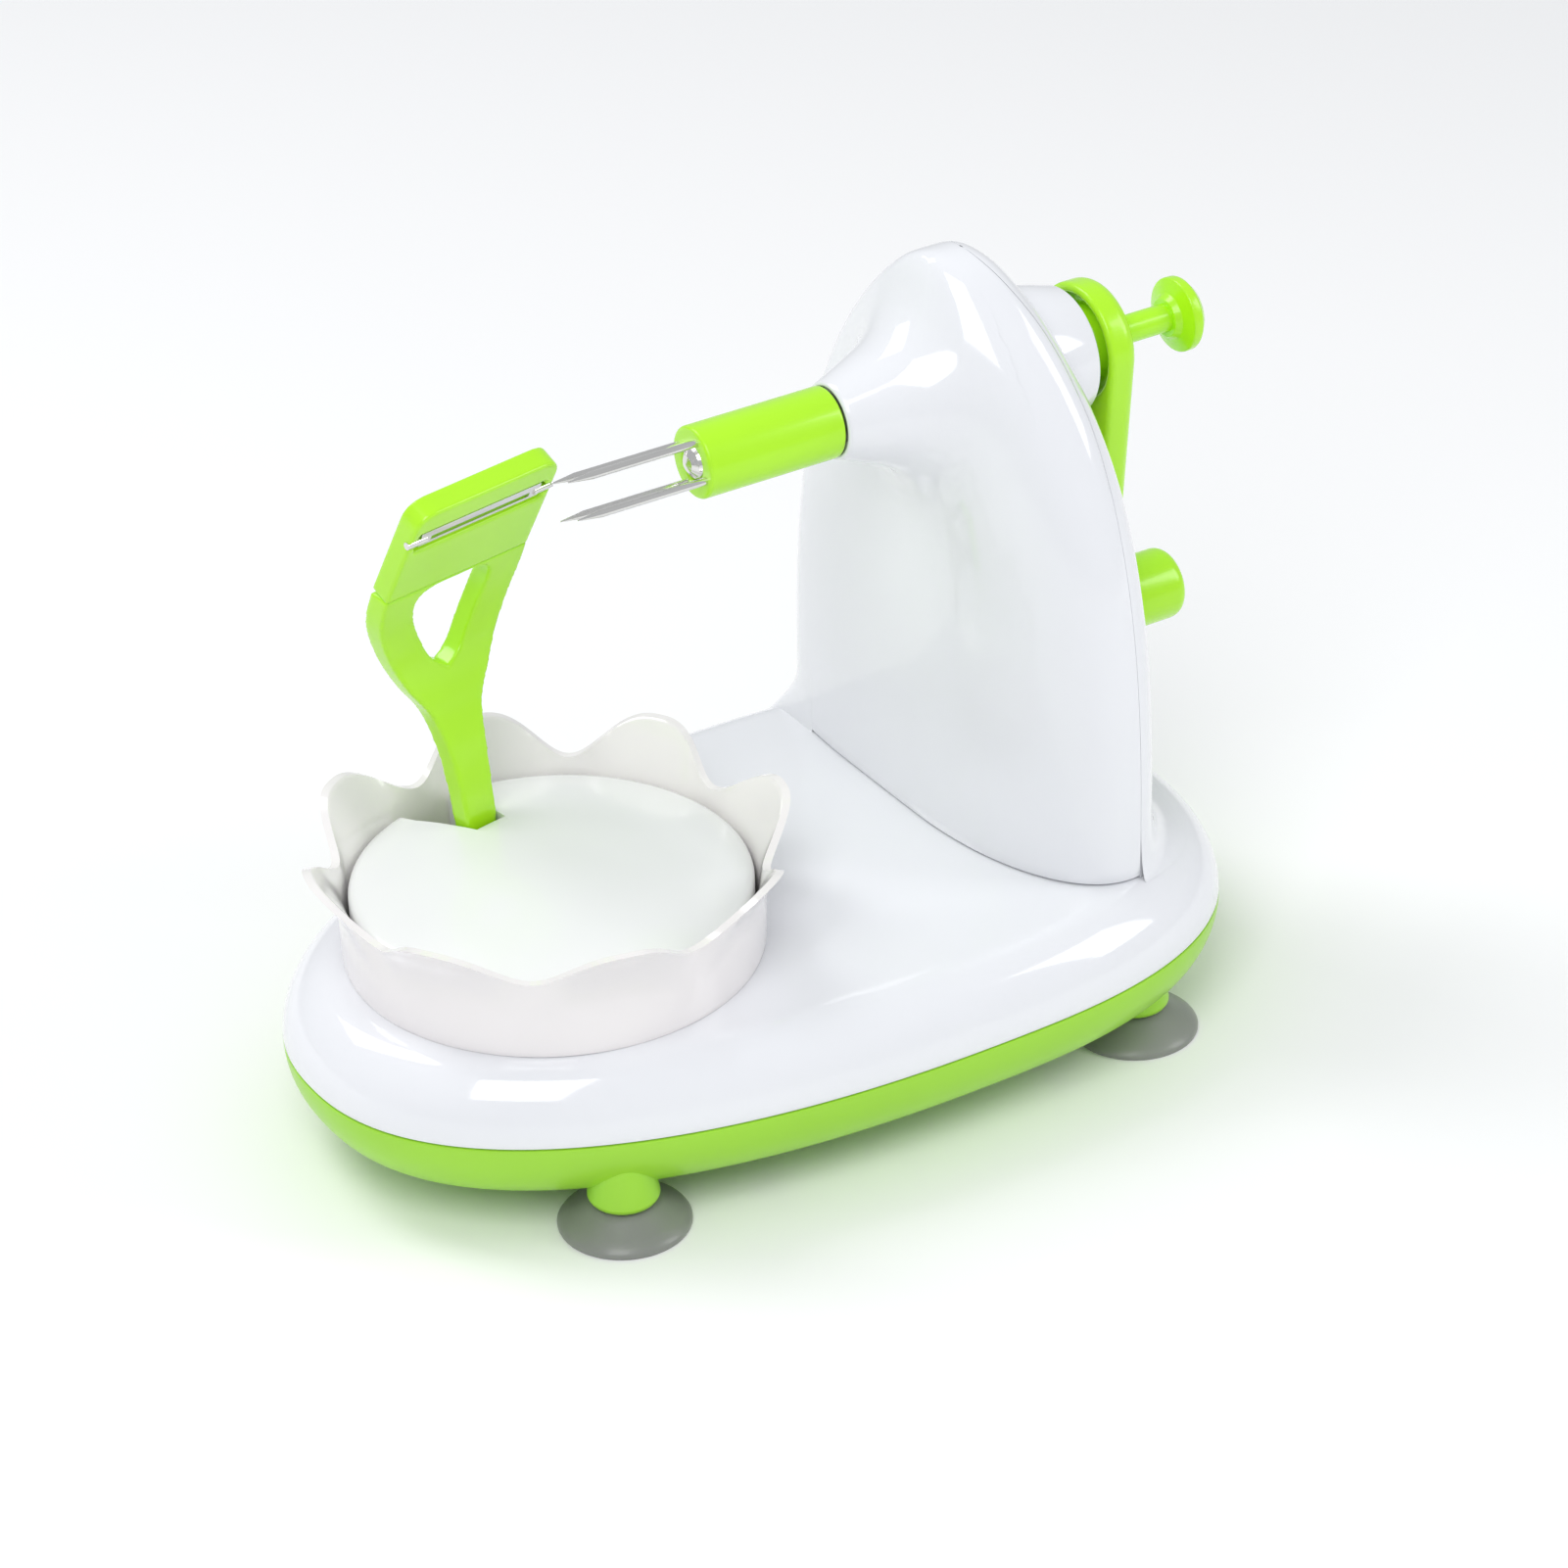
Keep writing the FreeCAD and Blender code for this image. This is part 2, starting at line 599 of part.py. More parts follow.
# ================================================================ turntable
def turntable():
    """The domed table with its slot, the carrier under it, the gear and the retaining washer."""
    gap = size("RunningGap")
    radius = size("TableRadius")
    edge = size("TableEdge")
    dome = size("TableDome")
    carrier_top = size("CarrierTop")
    sphere = (radius ** 2 + dome ** 2) / (2 * dome)
    centre = edge + dome - sphere
    wall = 2.0
    skirt = 38.2
    crown = Part.makeSphere(sphere, Vector(0, 0, centre))
    crown = crown.common(Part.makeCylinder(radius, 30, Vector(0, 0, edge - 1)))
    outer = Part.makeCylinder(radius, edge - skirt, Vector(0, 0, skirt)).fuse(crown)
    hollow = Part.makeSphere(sphere - wall, Vector(0, 0, centre))
    hollow = hollow.common(Part.makeCylinder(radius - wall, 30, Vector(0, 0, skirt - 0.1)))
    inner = Part.makeCylinder(radius - wall, edge - 2.3 - skirt, Vector(0, 0, skirt - 0.1)).fuse(hollow)
    disc = outer.cut(inner)
    narrow = size("SlotWidth / 2")
    mouth = size("SlotMouth / 2")
    inner_end = size("SlotInner")
    corners = [Vector(-narrow, inner_end, 30), Vector(narrow, inner_end, 30), Vector(mouth, radius - 6, 30),
               Vector(mouth, 60, 30), Vector(-mouth, 60, 30), Vector(-mouth, radius - 6, 30)]
    slot = Part.Face(Part.makePolygon(corners + corners[:1])).extrude(Vector(0, 0, 40))
    disc = disc.cut(slot)
    for angle in (-30, 210, 270):
        x = 31 * math.cos(math.radians(angle))
        y = 31 * math.sin(math.radians(angle))
        leg = Part.makeCylinder(2.8, 30, Vector(x, y, carrier_top))
        below = Part.makeCylinder(radius - 3, 9, Vector(0, 0, carrier_top))
        disc = disc.fuse(leg.common(outer.fuse(below)))
        disc = disc.cut(Part.makeCylinder(1.1, 9, Vector(x, y, carrier_top)))
    item = keep(solid_feature("TableDisc", disc.removeSplitter()), "turntable_disc")
    turn_on_table(item)

    plate = Part.makeCylinder(34, carrier_top - 27, Vector(0, 0, 27))
    plate = plate.cut(Part.makeCylinder(8, 10, Vector(0, 0, 22)))
    pivot = size("ArmPivotRadius")
    level = size("ArmPivotHeight")
    for side in (-1, 1):
        ear = Part.makeBox(2.4, 9, level - carrier_top, Vector(side * 10.4 - 1.2, pivot - 4.5, carrier_top))
        ear = ear.fuse(Part.makeCylinder(4.5, 2.4, Vector(side * 10.4 - 1.2, pivot, level), Vector(1, 0, 0)))
        plate = plate.fuse(ear)
    plate = plate.cut(Part.makeCylinder(size("ArmPivotPin"), 40, Vector(-20, pivot, level), Vector(1, 0, 0)))
    for angle in (-30, 210, 270):
        x = 31 * math.cos(math.radians(angle))
        y = 31 * math.sin(math.radians(angle))
        plate = plate.cut(Part.makeCylinder(1.4, 10, Vector(x, y, 22)))
        plate = plate.cut(Part.makeCylinder(2.4, 1.6, Vector(x, y, 27)))
    for angle in (0, 120, 240):
        x = 10.6 * math.cos(math.radians(angle))
        y = 10.6 * math.sin(math.radians(angle))
        plate = plate.cut(Part.makeCylinder(1.2, 10, Vector(x, y, 22)))
    item = keep(solid_feature("TableCarrier", plate.removeSplitter()), "turntable_carrier")
    turn_on_table(item)

    low = size("TableGearBottom")
    gear = spur(int(size("TableTeeth")), low, low + 5, table_phase(), 0.8)
    gear = gear.fuse(Part.makeCylinder(13, 27 - low + 0.5, Vector(0, 0, low - 0.5)))
    gear = gear.cut(Part.makeCylinder(size("PostRadius") + gap, 20, Vector(0, 0, low - 1)))
    for angle in range(6):
        window = Part.makeCylinder(8.2, 10, Vector(26, 0, low - 1))
        window.rotate(Vector(), Vector(0, 0, 1), 60 * angle + 30)
        gear = gear.cut(window)
    for angle in (0, 120, 240):
        x = 10.6 * math.cos(math.radians(angle))
        y = 10.6 * math.sin(math.radians(angle))
        gear = gear.cut(Part.makeCylinder(0.9, 7, Vector(x, y, 21)))
    item = keep(solid_feature("TableGear", gear.removeSplitter()), "turntable_gear")
    turn_on_table(item)

    screws = []
    for angle in (-30, 210, 270):
        x = 31 * math.cos(math.radians(angle))
        y = 31 * math.sin(math.radians(angle))
        screws.append(screw_shape(2.2, 1.3, 1.1, 7.5).translated(Vector(x, y, 28.6)))
    item = keep(solid_feature("DiscScrews", Part.makeCompound(screws)), "disc_screws")
    turn_on_table(item)
    screws = []
    for angle in (0, 120, 240):
        x = 10.6 * math.cos(math.radians(angle))
        y = 10.6 * math.sin(math.radians(angle))
        screw = screw_shape(1.9, 1.2, 0.9, 7.5)
        screw.rotate(Vector(), Vector(1, 0, 0), 180)
        screws.append(screw.translated(Vector(x, y, carrier_top)))
    item = keep(solid_feature("CarrierScrews", Part.makeCompound(screws)), "carrier_screws")
    turn_on_table(item)

    washer = turned("TableWasher", [("1.7", "0"), ("7", "0"), ("7", "0.6"), ("1.7", "0.6")])
    keep(place(washer, "TableX", "0", "28"), "table_washer")


def turn_on_table(item):
    """Puts an object drawn round the table's axis, arm on +Y, at its rest angle on the table."""
    place(item, "TableX", "0", "0", Rotation(Vector(0, 0, 1), size("TableRestAngle")))
    return item


def table_phase():
    """Turns the table gear, which rests at an angle, so that a gap faces the idler's tooth."""
    step = 2 * math.pi / size("TableTeeth")
    return -math.radians(size("TableRestAngle")) + step / 2


def bowl():
    """The peel bowl: a plain ring that flares at its rim into eight petals."""
    petals = int(size("BowlPetals"))
    radius = size("BowlRadius")
    wall = size("BowlWall")
    foot = size("BaseTop")
    phase = math.radians(size("BowlPhase"))
    around = 96
    up = 9

    def rim(angle):
        """How far the rim flares and how high it stands at an angle, 0 in a valley and 1 at a tip."""
        wave = 0.5 - 0.5 * math.cos(petals * (angle - phase))
        lobe = 1 - (1 - wave) ** 1.35
        reach = (size("BowlTipRadius") - radius) * (0.12 + 0.88 * lobe)
        height = size("BowlValleyHeight") + (size("BowlTipHeight") - size("BowlValleyHeight")) * lobe
        return reach, height

    def surface(inset):
        rows = []
        for j in range(up):
            share = j / (up - 1)
            points = []
            for i in range(around):
                angle = 2 * math.pi * i / around
                reach, height = rim(angle)
                flare = max(0.0, (share - 0.45) / 0.55) ** 1.8
                r = radius - inset - 0.5 * (1 - share) + reach * flare
                level = foot + (height - foot) * share
                points.append(Vector(r * math.cos(angle), r * math.sin(angle), level))
            curve = Part.BSplineCurve()
            curve.interpolate(points, PeriodicFlag=True)
            rows.append(Part.Wire([curve.toShape()]))
        return rows

    outer_rows = surface(0.0)
    inner_rows = surface(wall)
    outer = Part.makeLoft(outer_rows, False, False)
    inner = Part.makeLoft(inner_rows, False, False)
    lip = Part.makeLoft([outer_rows[-1], inner_rows[-1]], False, True)
    base = Part.Face([outer_rows[0], inner_rows[0]], "Part::FaceMakerBullseye")
    shell = Part.makeShell(outer.Faces + inner.Faces + lip.Faces + base.Faces)
    shell.sewShape()
    solid = Part.makeSolid(shell)
    if solid.Volume < 0:
        solid.reverse()
    item = solid_feature("PetalBowl", solid)
    keep(place(item, "TableX"), "petal_bowl")


# ================================================================ peeling arm
ARM_SPINE = [(21.5, 38.0), (21.5, 45.0), (21.6, 53.0), (24.0, 67.0), (27.0, 77.0), (29.3, 87.0), (28.3, 97.0),
             (24.4, 107.0)]


def band(spine, thickness):
    """A ribbon of even thickness along a spine in the YZ plane, wide along X."""
    curve = Part.BSplineCurve()
    curve.interpolate([Vector(0, r, z) for r, z in spine])
    first, last = curve.FirstParameter, curve.LastParameter
    sides = ([], [])
    for i in range(25):
        parameter = first + (last - first) * i / 24
        point = curve.value(parameter)
        tangent = curve.tangent(parameter)[0]
        normal = Vector(0, tangent.z, -tangent.y)
        sides[0].append(point + normal * (thickness / 2))
        sides[1].append(point - normal * (thickness / 2))
    edges = []
    for side in sides:
        edge = Part.BSplineCurve()
        edge.interpolate(side)
        edges.append(edge.toShape())
    edges.append(Part.LineSegment(sides[0][0], sides[1][0]).toShape())
    edges.append(Part.LineSegment(sides[0][-1], sides[1][-1]).toShape())
    face = Part.Face(Part.Wire(Part.__sortEdges__(edges)))
    return face.extrude(Vector(60, 0, 0)).translated(Vector(-30, 0, 0))


def front_outline(half_widths, depth=80.0):
    """A symmetrical plate across Y from (half width, height) points, smooth down each side."""
    right = Part.BSplineCurve()
    right.interpolate([Vector(w, 0, z) for w, z in half_widths])
    left = Part.BSplineCurve()
    left.interpolate([Vector(-w, 0, z) for w, z in half_widths])
    low, high = half_widths[0], half_widths[-1]
    edges = [
        right.toShape(),
        left.toShape(),
        Part.LineSegment(Vector(-low[0], 0, low[1]), Vector(low[0], 0, low[1])).toShape(),
        Part.LineSegment(Vector(-high[0], 0, high[1]), Vector(high[0], 0, high[1])).toShape(),
    ]
    face = Part.Face(Part.Wire(Part.__sortEdges__(edges)))
    return face.extrude(Vector(0, depth, 0)).translated(Vector(0, -10, 0))


def teardrop():
    """The finger hole: a rounded triangle, point down."""
    points = [Vector(0, 0, 85.0), Vector(3.4, 0, 87.6), Vector(6.6, 0, 94.0), Vector(8.7, 0, 100.0),
              Vector(8.3, 0, 104.0), Vector(5.0, 0, 105.4), Vector(0, 0, 105.5), Vector(-5.0, 0, 105.4),
              Vector(-8.3, 0, 104.0), Vector(-8.7, 0, 100.0), Vector(-6.6, 0, 94.0), Vector(-3.4, 0, 87.6)]
    curve = Part.BSplineCurve()
    curve.interpolate(points, PeriodicFlag=True)
    face = Part.Face(Part.Wire([curve.toShape()]))
    return face.extrude(Vector(0, 80, 0)).translated(Vector(0, -10, 0))


def holder_point(along_plate, proud=0.0):
    """A point on the holder's plate: along it from its joint, and proud of its inner face's middle."""
    low = Vector(0, ARM_SPINE[-1][0], size("ArmJoint"))
    high = Vector(0, size("HolderTopRadius"), size("HolderTop"))
    direction = (high - low).normalize()
    inward = Vector(0, -direction.z, direction.y)
    return low + direction * along_plate + inward * proud


def holder_turn():
    """The rotation that stands a plate drawn in XZ up along the holder's lean."""
    low = holder_point(0)
    high = holder_point(1)
    lean = math.degrees(math.atan2(low.y - high.y, high.z - low.z))
    return Rotation(Vector(1, 0, 0), lean)


def arm():
    """The arm frame, the blade holder on its end, the swivelling blade and their pins."""
    half = size("ArmHalfWidth")
    thick = size("ArmThickness")
    joint = size("ArmJoint")
    pivot = size("ArmPivotRadius")
    level = size("ArmPivotHeight")
    widths = [(3.3, level), (3.3, 47.0), (3.6, 56.0), (4.3, 68.0), (6.0, 76.5), (9.8, 83.0), (13.6, 91.0),
              (half - 0.5, 99.5), (half, joint)]
    frame = band(ARM_SPINE, thick).common(front_outline(widths)).cut(teardrop())
    frame = frame.fuse(Part.makeCylinder(4.0, 11.4, Vector(-5.7, pivot, level), Vector(1, 0, 0)))
    frame = frame.cut(Part.makeCylinder(size("ArmPivotPin + RunningGap"), 20, Vector(-10, pivot, level),
                                        Vector(1, 0, 0)))
    item = keep(solid_feature("ArmFrame", frame.removeSplitter()), "arm_frame")
    turn_on_table(item)

    length = math.hypot(ARM_SPINE[-1][0] - size("HolderTopRadius"), size("HolderTop") - joint)
    blade_at = length - 8.0
    plate = Part.makeBox(2 * half, thick, length, Vector(-half, -thick / 2, 0))
    corners = [edge for edge in plate.Edges
               if abs(edge.CenterOfMass.z - length) < 0.1 and abs(abs(edge.CenterOfMass.x) - half) < 0.1]
    plate = plate.makeFillet(4.0, corners)
    opening = size("BladeWidth + 1.4")
    window = Part.makeBox(2 * size("BladeHalf") + 1.6, 20, opening,
                          Vector(-size("BladeHalf") - 0.8, -10, blade_at - opening / 2))
    plate = plate.cut(window)
    proud = size("BladeProud")
    pin_hole = Part.makeCylinder(0.75 + size("RunningGap"), 4 * half, Vector(-2 * half, -proud, blade_at),
                                 Vector(1, 0, 0))
    plate = plate.cut(pin_hole.common(Part.makeBox(2 * size("BladeHalf") + 6.4, 20, 20,
                                                   Vector(-size("BladeHalf") - 3.2, -10, blade_at - 10))))
    plate.Placement = Placement(holder_point(0), holder_turn())
    item = keep(solid_feature("BladeHolder", plate.removeSplitter()), "blade_holder")
    turn_on_table(item)

    blade_half = size("BladeHalf") - 0.1
    width = size("BladeWidth")
    arc_radius = 9.0
    start = Vector(-blade_half, arc_radius - 0.35, 0)
    blade = Part.makeCylinder(arc_radius, 2 * blade_half, start, Vector(1, 0, 0))
    blade = blade.cut(Part.makeCylinder(arc_radius - 0.7, 2 * blade_half, start, Vector(1, 0, 0)))
    blade = blade.common(Part.makeBox(2 * blade_half, 2.2, width, Vector(-blade_half, -0.5, -width / 2)))
    blade = blade.cut(Part.makeBox(2 * blade_half - 5.0, 10, 1.1, Vector(-blade_half + 2.5, -5, -0.55)))
    for side in (-1, 1):
        outer_end = side * (blade_half + 3.0)
        inner_end = side * (blade_half - 1.4)
        pin = Part.makeCylinder(0.75, 4.4, Vector(min(outer_end, inner_end), 0, 0), Vector(1, 0, 0))
        blade = blade.fuse(pin)
    blade.Placement = Placement(holder_point(blade_at, proud), holder_turn())
    item = keep(solid_feature("Blade", blade.removeSplitter()), "peeler_blade")
    turn_on_table(item)

    pin = Part.makeCylinder(size("ArmPivotPin"), 23.2, Vector(-11.6, pivot, level), Vector(1, 0, 0))
    item = keep(solid_feature("ArmPivotPinPart", Part.makeCompound([pin])), "arm_pivot_pin")
    turn_on_table(item)

    coil = helix_spring(2.5, 0.7, 2.9, 3.0, Vector())
    coil.rotate(Vector(), Vector(0, 1, 0), 90)
    coil.translate(Vector(6.0, pivot, level))
    item = keep(solid_feature("ArmSpring", Part.makeCompound([coil])), "arm_spring")
    turn_on_table(item)


# ================================================================ fork, main shaft and ejector
def fork_line():
    """Everything that lies on the fork's axis, drawn about the X axis and lifted to it."""
    sleeve = turned("ForkSleeve", [
        ("SleeveFront", "3.6"),
        ("SleeveFront", "SleeveRadius"),
        ("SleeveRear", "SleeveRadius"),
        ("SleeveRear", "ShaftRadius"),
        ("ShaftFront", "ShaftRadius"),
        ("ShaftFront", "3.6"),
    ], "H_Axis")
    rounded(sleeve, "0.7", ring_at("SleeveRadius"))
    prongs = []
    for i in range(4):
        angle = math.radians(size("ProngAngle") + 90 * i)
        y = size("ProngCircle") * math.cos(angle)
        z = size("ProngCircle") * math.sin(angle)
        radius = size("ProngRadius")
        tip = size("ProngTip")
        point = Part.makeCone(0.12, radius, 5, Vector(tip, y, z), Vector(1, 0, 0))
        length = size("ShaftFront") - 0.2 - tip - 5
        rod = Part.makeCylinder(radius, length, Vector(tip + 5, y, z), Vector(1, 0, 0))
        prongs.append(point.fuse(rod).removeSplitter())
    prong_set = Part.makeCompound(prongs)
    doc.recompute()
    bored = cut("BoredSleeve", sleeve, solid_feature("ProngHoles", prong_set))
    keep(place(bored, "0", "0", "ForkHeight"), "fork_sleeve")
    item = solid_feature("Prongs", prong_set.copy())
    keep(place(item, "0", "0", "ForkHeight"), "fork_prongs")

    shaft = turned("MainShaft", [
        ("ShaftFront", "ShaftBore"),
        ("ShaftFront", "ShaftRadius"),
        ("ShaftRear", "ShaftRadius"),
        ("ShaftRear", "SpringPocket"),
        ("SpringSeat", "SpringPocket"),
        ("SpringSeat", "ShaftBore"),
    ], "H_Axis")
    keep(place(shaft, "0", "0", "ForkHeight"), "main_shaft")

    front = turned("FrontBushing", [
        ("NoseRim + 1.5", "ShaftRadius + RunningGap"),
        ("NoseRim + 1.5", "6.5"),
        ("NoseRim + 15", "6.5"),
        ("NoseRim + 15", "ShaftRadius + RunningGap"),
    ], "H_Axis")
    keep(place(front, "0", "0", "ForkHeight"), "front_bushing")
    rear = turned("RearBushing", [
        ("BossRim - 8", "ShaftRadius + RunningGap"),
        ("BossRim - 8", "8"),
        ("BossRim - 0.4", "8"),
        ("BossRim - 0.4", "ShaftRadius + RunningGap"),
    ], "H_Axis")
    keep(place(rear, "0", "0", "ForkHeight"), "rear_bushing")

    rod = turned("EjectorRod", [
        ("ShaftFront - 3", "0"),
        ("ShaftFront - 3", "RodRadius"),
        ("ButtonFront + 1", "RodRadius"),
        ("ButtonFront + 1", "0"),
    ], "H_Axis")
    keep(place(rod, "0", "0", "ForkHeight"), "ejector_rod")
    tip = turned("EjectorTip", [
        ("ShaftFront - 6.4", "0"),
        ("ShaftFront - 6.1", "1.6"),
        ("ShaftFront - 5.2", "2.9"),
        ("ShaftFront - 4.2", "3.5"),
        ("ShaftFront - 0.1", "3.5"),
        ("ShaftFront - 0.1", "RodRadius"),
        ("ShaftFront - 3", "RodRadius"),
        ("ShaftFront - 3", "0"),
    ], "H_Axis")
    keep(place(tip, "0", "0", "ForkHeight"), "ejector_tip")
    collar = turned("EjectorCollar", [
        ("CollarFront", "RodRadius"),
        ("CollarFront", "SpringPocket - 0.3"),
        ("CollarFront + 1", "SpringPocket - 0.3"),
        ("CollarFront + 1", "RodRadius"),
    ], "H_Axis")
    keep(place(collar, "0", "0", "ForkHeight"), "ejector_collar")
    button = turned("EjectorButton", [
        ("ButtonFront", "RodRadius"),
        ("ButtonFront - 1.2", "RodRadius"),
        ("ButtonFront - 1.2", "RodRadius + 1"),
        ("ButtonFront", "RodRadius + 1.8"),
        ("ButtonFront + 1", "ButtonRadius"),
        ("ButtonFront + 2.8", "ButtonRadius"),
        ("ButtonFront + 4.4", "ButtonRadius - 1.8"),
        ("ButtonFront + 5.2", "ButtonRadius - 4"),
        ("ButtonFront + 5.5", "0"),
        ("ButtonFront + 1", "0"),
        ("ButtonFront + 1", "RodRadius"),
    ], "H_Axis")
    keep(place(button, "0", "0", "ForkHeight"), "ejector_button")

    span = size("CollarFront - SpringSeat")
    coil = helix_spring(3.35, 0.6, span - 0.7, 7.0, Vector(0, 0, 0.35))
    coil.rotate(Vector(), Vector(0, 1, 0), 90)
    coil.translate(Vector(size("SpringSeat"), 0, size("ForkHeight")))
    keep(solid_feature("EjectorSpring", coil), "ejector_spring")


# ================================================================ crank and grip
def teardrop_plate(large, small, distance, start, end):
    """A plate across X: a circle about the axis and a smaller one below it, joined by their tangents."""
    turn = math.asin((large - small) / distance)
    c, s = math.cos(turn), math.sin(turn)
    wide = [Vector(start, side * large * c, -large * s) for side in (-1, 1)]
    low = [Vector(start, side * small * c, -distance - small * s) for side in (-1, 1)]
    edges = [
        Part.Arc(wide[0], Vector(start, 0, large), wide[1]).toShape(),
        Part.LineSegment(wide[1], low[1]).toShape(),
        Part.Arc(low[1], Vector(start, 0, -distance - small), low[0]).toShape(),
        Part.LineSegment(low[0], wide[0]).toShape(),
    ]
    return Part.Face(Part.Wire(edges)).extrude(Vector(end - start, 0, 0))


def crank():
    """The teardrop crank, cupped towards the boss, and the grip that spins on a headed pin."""
    front = size("CrankFront")
    rear = size("CrankRear")
    reach = size("CrankReach")
    plate = teardrop_plate(size("CrankHub"), size("CrankEnd"), reach, front, rear)
    back = [edge for edge in plate.Edges if abs(edge.BoundBox.XMin - rear) < 0.01]
    plate = plate.makeFillet(2.6, back)
    rim = [edge for edge in plate.Edges if abs(edge.BoundBox.XMax - front) < 0.01]
    plate = plate.makeFillet(0.8, rim)
    along_x = Vector(1, 0, 0)
    shaft = size("ShaftRadius")
    cup = Part.makeCylinder(size("CrankCup"), 3.4, Vector(front, 0, 0), along_x)
    cup = cup.cut(Part.makeCylinder(shaft + 2.4, 3.4, Vector(front, 0, 0), along_x))
    plate = plate.cut([
        cup,
        Part.makeCylinder(shaft, size("ShaftRear") - front, Vector(front, 0, 0), along_x),
        Part.makeCylinder(size("RodRadius") + 0.35, 20, Vector(front, 0, 0), along_x),
        Part.makeCylinder(2.5, 20, Vector(front, 0, -reach), along_x),
        Part.makeCylinder(4.3, 1.6, Vector(front, 0, -reach), along_x),
    ])
    item = solid_feature("CrankPlate", plate)
    keep(place(item, "0", "0", "ForkHeight"), "crank_arm")

    pin = turned("GripPin", [
        ("CrankFront + 0.2", "0"),
        ("CrankFront + 0.2", "3.4"),
        ("CrankFront + 0.6", "4"),
        ("CrankFront + 1.6", "4"),
        ("CrankFront + 1.6", "2.5"),
        ("GripEnd - 5", "2.5"),
        ("GripEnd - 5", "3.3"),
        ("GripEnd - 3.4", "2.6"),
        ("GripEnd - 3.4", "0"),
    ], "H_Axis")
    keep(place(pin, "0", "0", "ForkHeight - CrankReach"), "grip_pin")
    grip = turned("Grip", [
        ("CrankRear + 0.3", "2.5 + RunningGap"),
        ("CrankRear + 0.3", "GripRadius - 0.7"),
        ("CrankRear + 1", "GripRadius"),
        ("GripEnd - 2.2", "GripRadius"),
        ("GripEnd - 1", "GripRadius - 0.5"),
        ("GripEnd - 0.3", "GripRadius - 1.4"),
        ("GripEnd", "GripRadius - 2.6"),
        ("GripEnd", "0"),
        ("GripEnd - 3", "0"),
        ("GripEnd - 3", "3.6"),
        ("GripEnd - 5.3", "3.6"),
        ("GripEnd - 5.3", "2.5 + RunningGap"),
    ], "H_Axis")
    keep(place(grip, "0", "0", "ForkHeight - CrankReach"), "crank_grip")


# ================================================================ gear train
def gear_train():
    """The mitre pair in the tower, the lay shaft down to the base and the compound idler."""
    fork = size("ForkHeight")
    lay_x = size("LayShaftX")
    reach = size("MitreModule * MitreTeeth / 2")
    step = 2 * math.pi / size("MitreTeeth")

    main = mitre(step / 2)
    main = main.fuse(Part.makeCylinder(7.2, 2.2, Vector(0, 0, -reach - 2.2)))
    main = main.cut(Part.makeCylinder(size("ShaftRadius"), 30, Vector(0, 0, -20)))
    main.rotate(Vector(), Vector(0, 1, 0), 90)
    main.translate(Vector(lay_x, 0, fork))
    keep(solid_feature("MitreGearMain", main.removeSplitter()), "mitre_gear_main")

    lay = mitre(0.0)
    lay = lay.fuse(Part.makeCylinder(7.0, 4.5, Vector(0, 0, -reach - 4.5)))
    lay = lay.cut(Part.makeCylinder(size("LayShaftRadius"), 30, Vector(0, 0, -25)))
    lay.translate(Vector(lay_x, 0, fork))
    keep(solid_feature("MitreGearLay", lay.removeSplitter()), "mitre_gear_lay")

    shaft = cylinder("LayShaft", "LayShaftRadius", "ForkHeight - 20.5", "LayShaftX", "0", "12")
    keep(shaft, "lay_shaft")
    upper = turned("UpperBushing", [
        ("LayShaftRadius + RunningGap", "98.4"),
        ("4.5", "98.4"),
        ("4.5", "103"),
        ("6.2", "103"),
        ("6.2", "104.6"),
        ("LayShaftRadius + RunningGap", "104.6"),
    ])
    keep(place(upper, "LayShaftX"), "upper_bushing")
    lower = turned("LowerBushing", [
        ("0", "FloorUnderside + Wall"),
        ("4", "FloorUnderside + Wall"),
        ("4", "16.4"),
        ("LayShaftRadius + RunningGap", "16.4"),
        ("LayShaftRadius + RunningGap", "11.8"),
        ("0", "11.8"),
    ])
    keep(place(lower, "LayShaftX"), "lower_bushing")

    large_low = size("IdlerLargeBottom")
    pinion = spur(int(size("LayPinionTeeth")), large_low - 0.4, large_low + 5.2, math.pi, 0.9)
    pinion = pinion.fuse(Part.makeCylinder(5.6, 5, Vector(0, 0, large_low + 5.2)))
    pinion = pinion.cut(Part.makeCylinder(size("LayShaftRadius"), 40))
    keep(place(solid_feature("LayPinion", pinion.removeSplitter()), "LayShaftX"), "lay_pinion")

    small_low = size("TableGearBottom") - 0.4
    large_teeth = int(size("IdlerLargeTeeth"))
    idler = spur(large_teeth, large_low, large_low + 4.6, math.pi / large_teeth, 0.85)
    for angle in range(6):
        window = Part.makeCylinder(7.4, 12, Vector(22.5, 0, large_low - 3))
        window.rotate(Vector(), Vector(0, 0, 1), 60 * angle + 30)
        idler = idler.cut(window)
    idler = idler.fuse(spur(int(size("IdlerSmallTeeth")), small_low, large_low + 0.2, math.pi, 0.9))
    idler = idler.fuse(Part.makeCylinder(5.5, 5.2, Vector(0, 0, large_low + 4.4)))
    idler = idler.cut(Part.makeCylinder(size("2.0 + RunningGap"), 60))
    keep(place(solid_feature("IdlerGear", idler.removeSplitter()), "IdlerX"), "idler_gear")
    axle = cylinder("IdlerAxle", "2", "BaseTop - 2 * Wall - FloorUnderside - 0.2", "IdlerX", "0",
                    "FloorUnderside + Wall")
    keep(axle, "idler_axle")


# ================================================================ build and write
base_shells()
suction_cups()
tower_shells()
fasteners()
turntable()
bowl()
arm()
fork_line()
crank()
gear_train()
doc.recompute()

for item in doc.Objects:
    if {"Invalid", "Error"} & set(item.State):
        raise RuntimeError(f"{item.Label} is {item.State}")

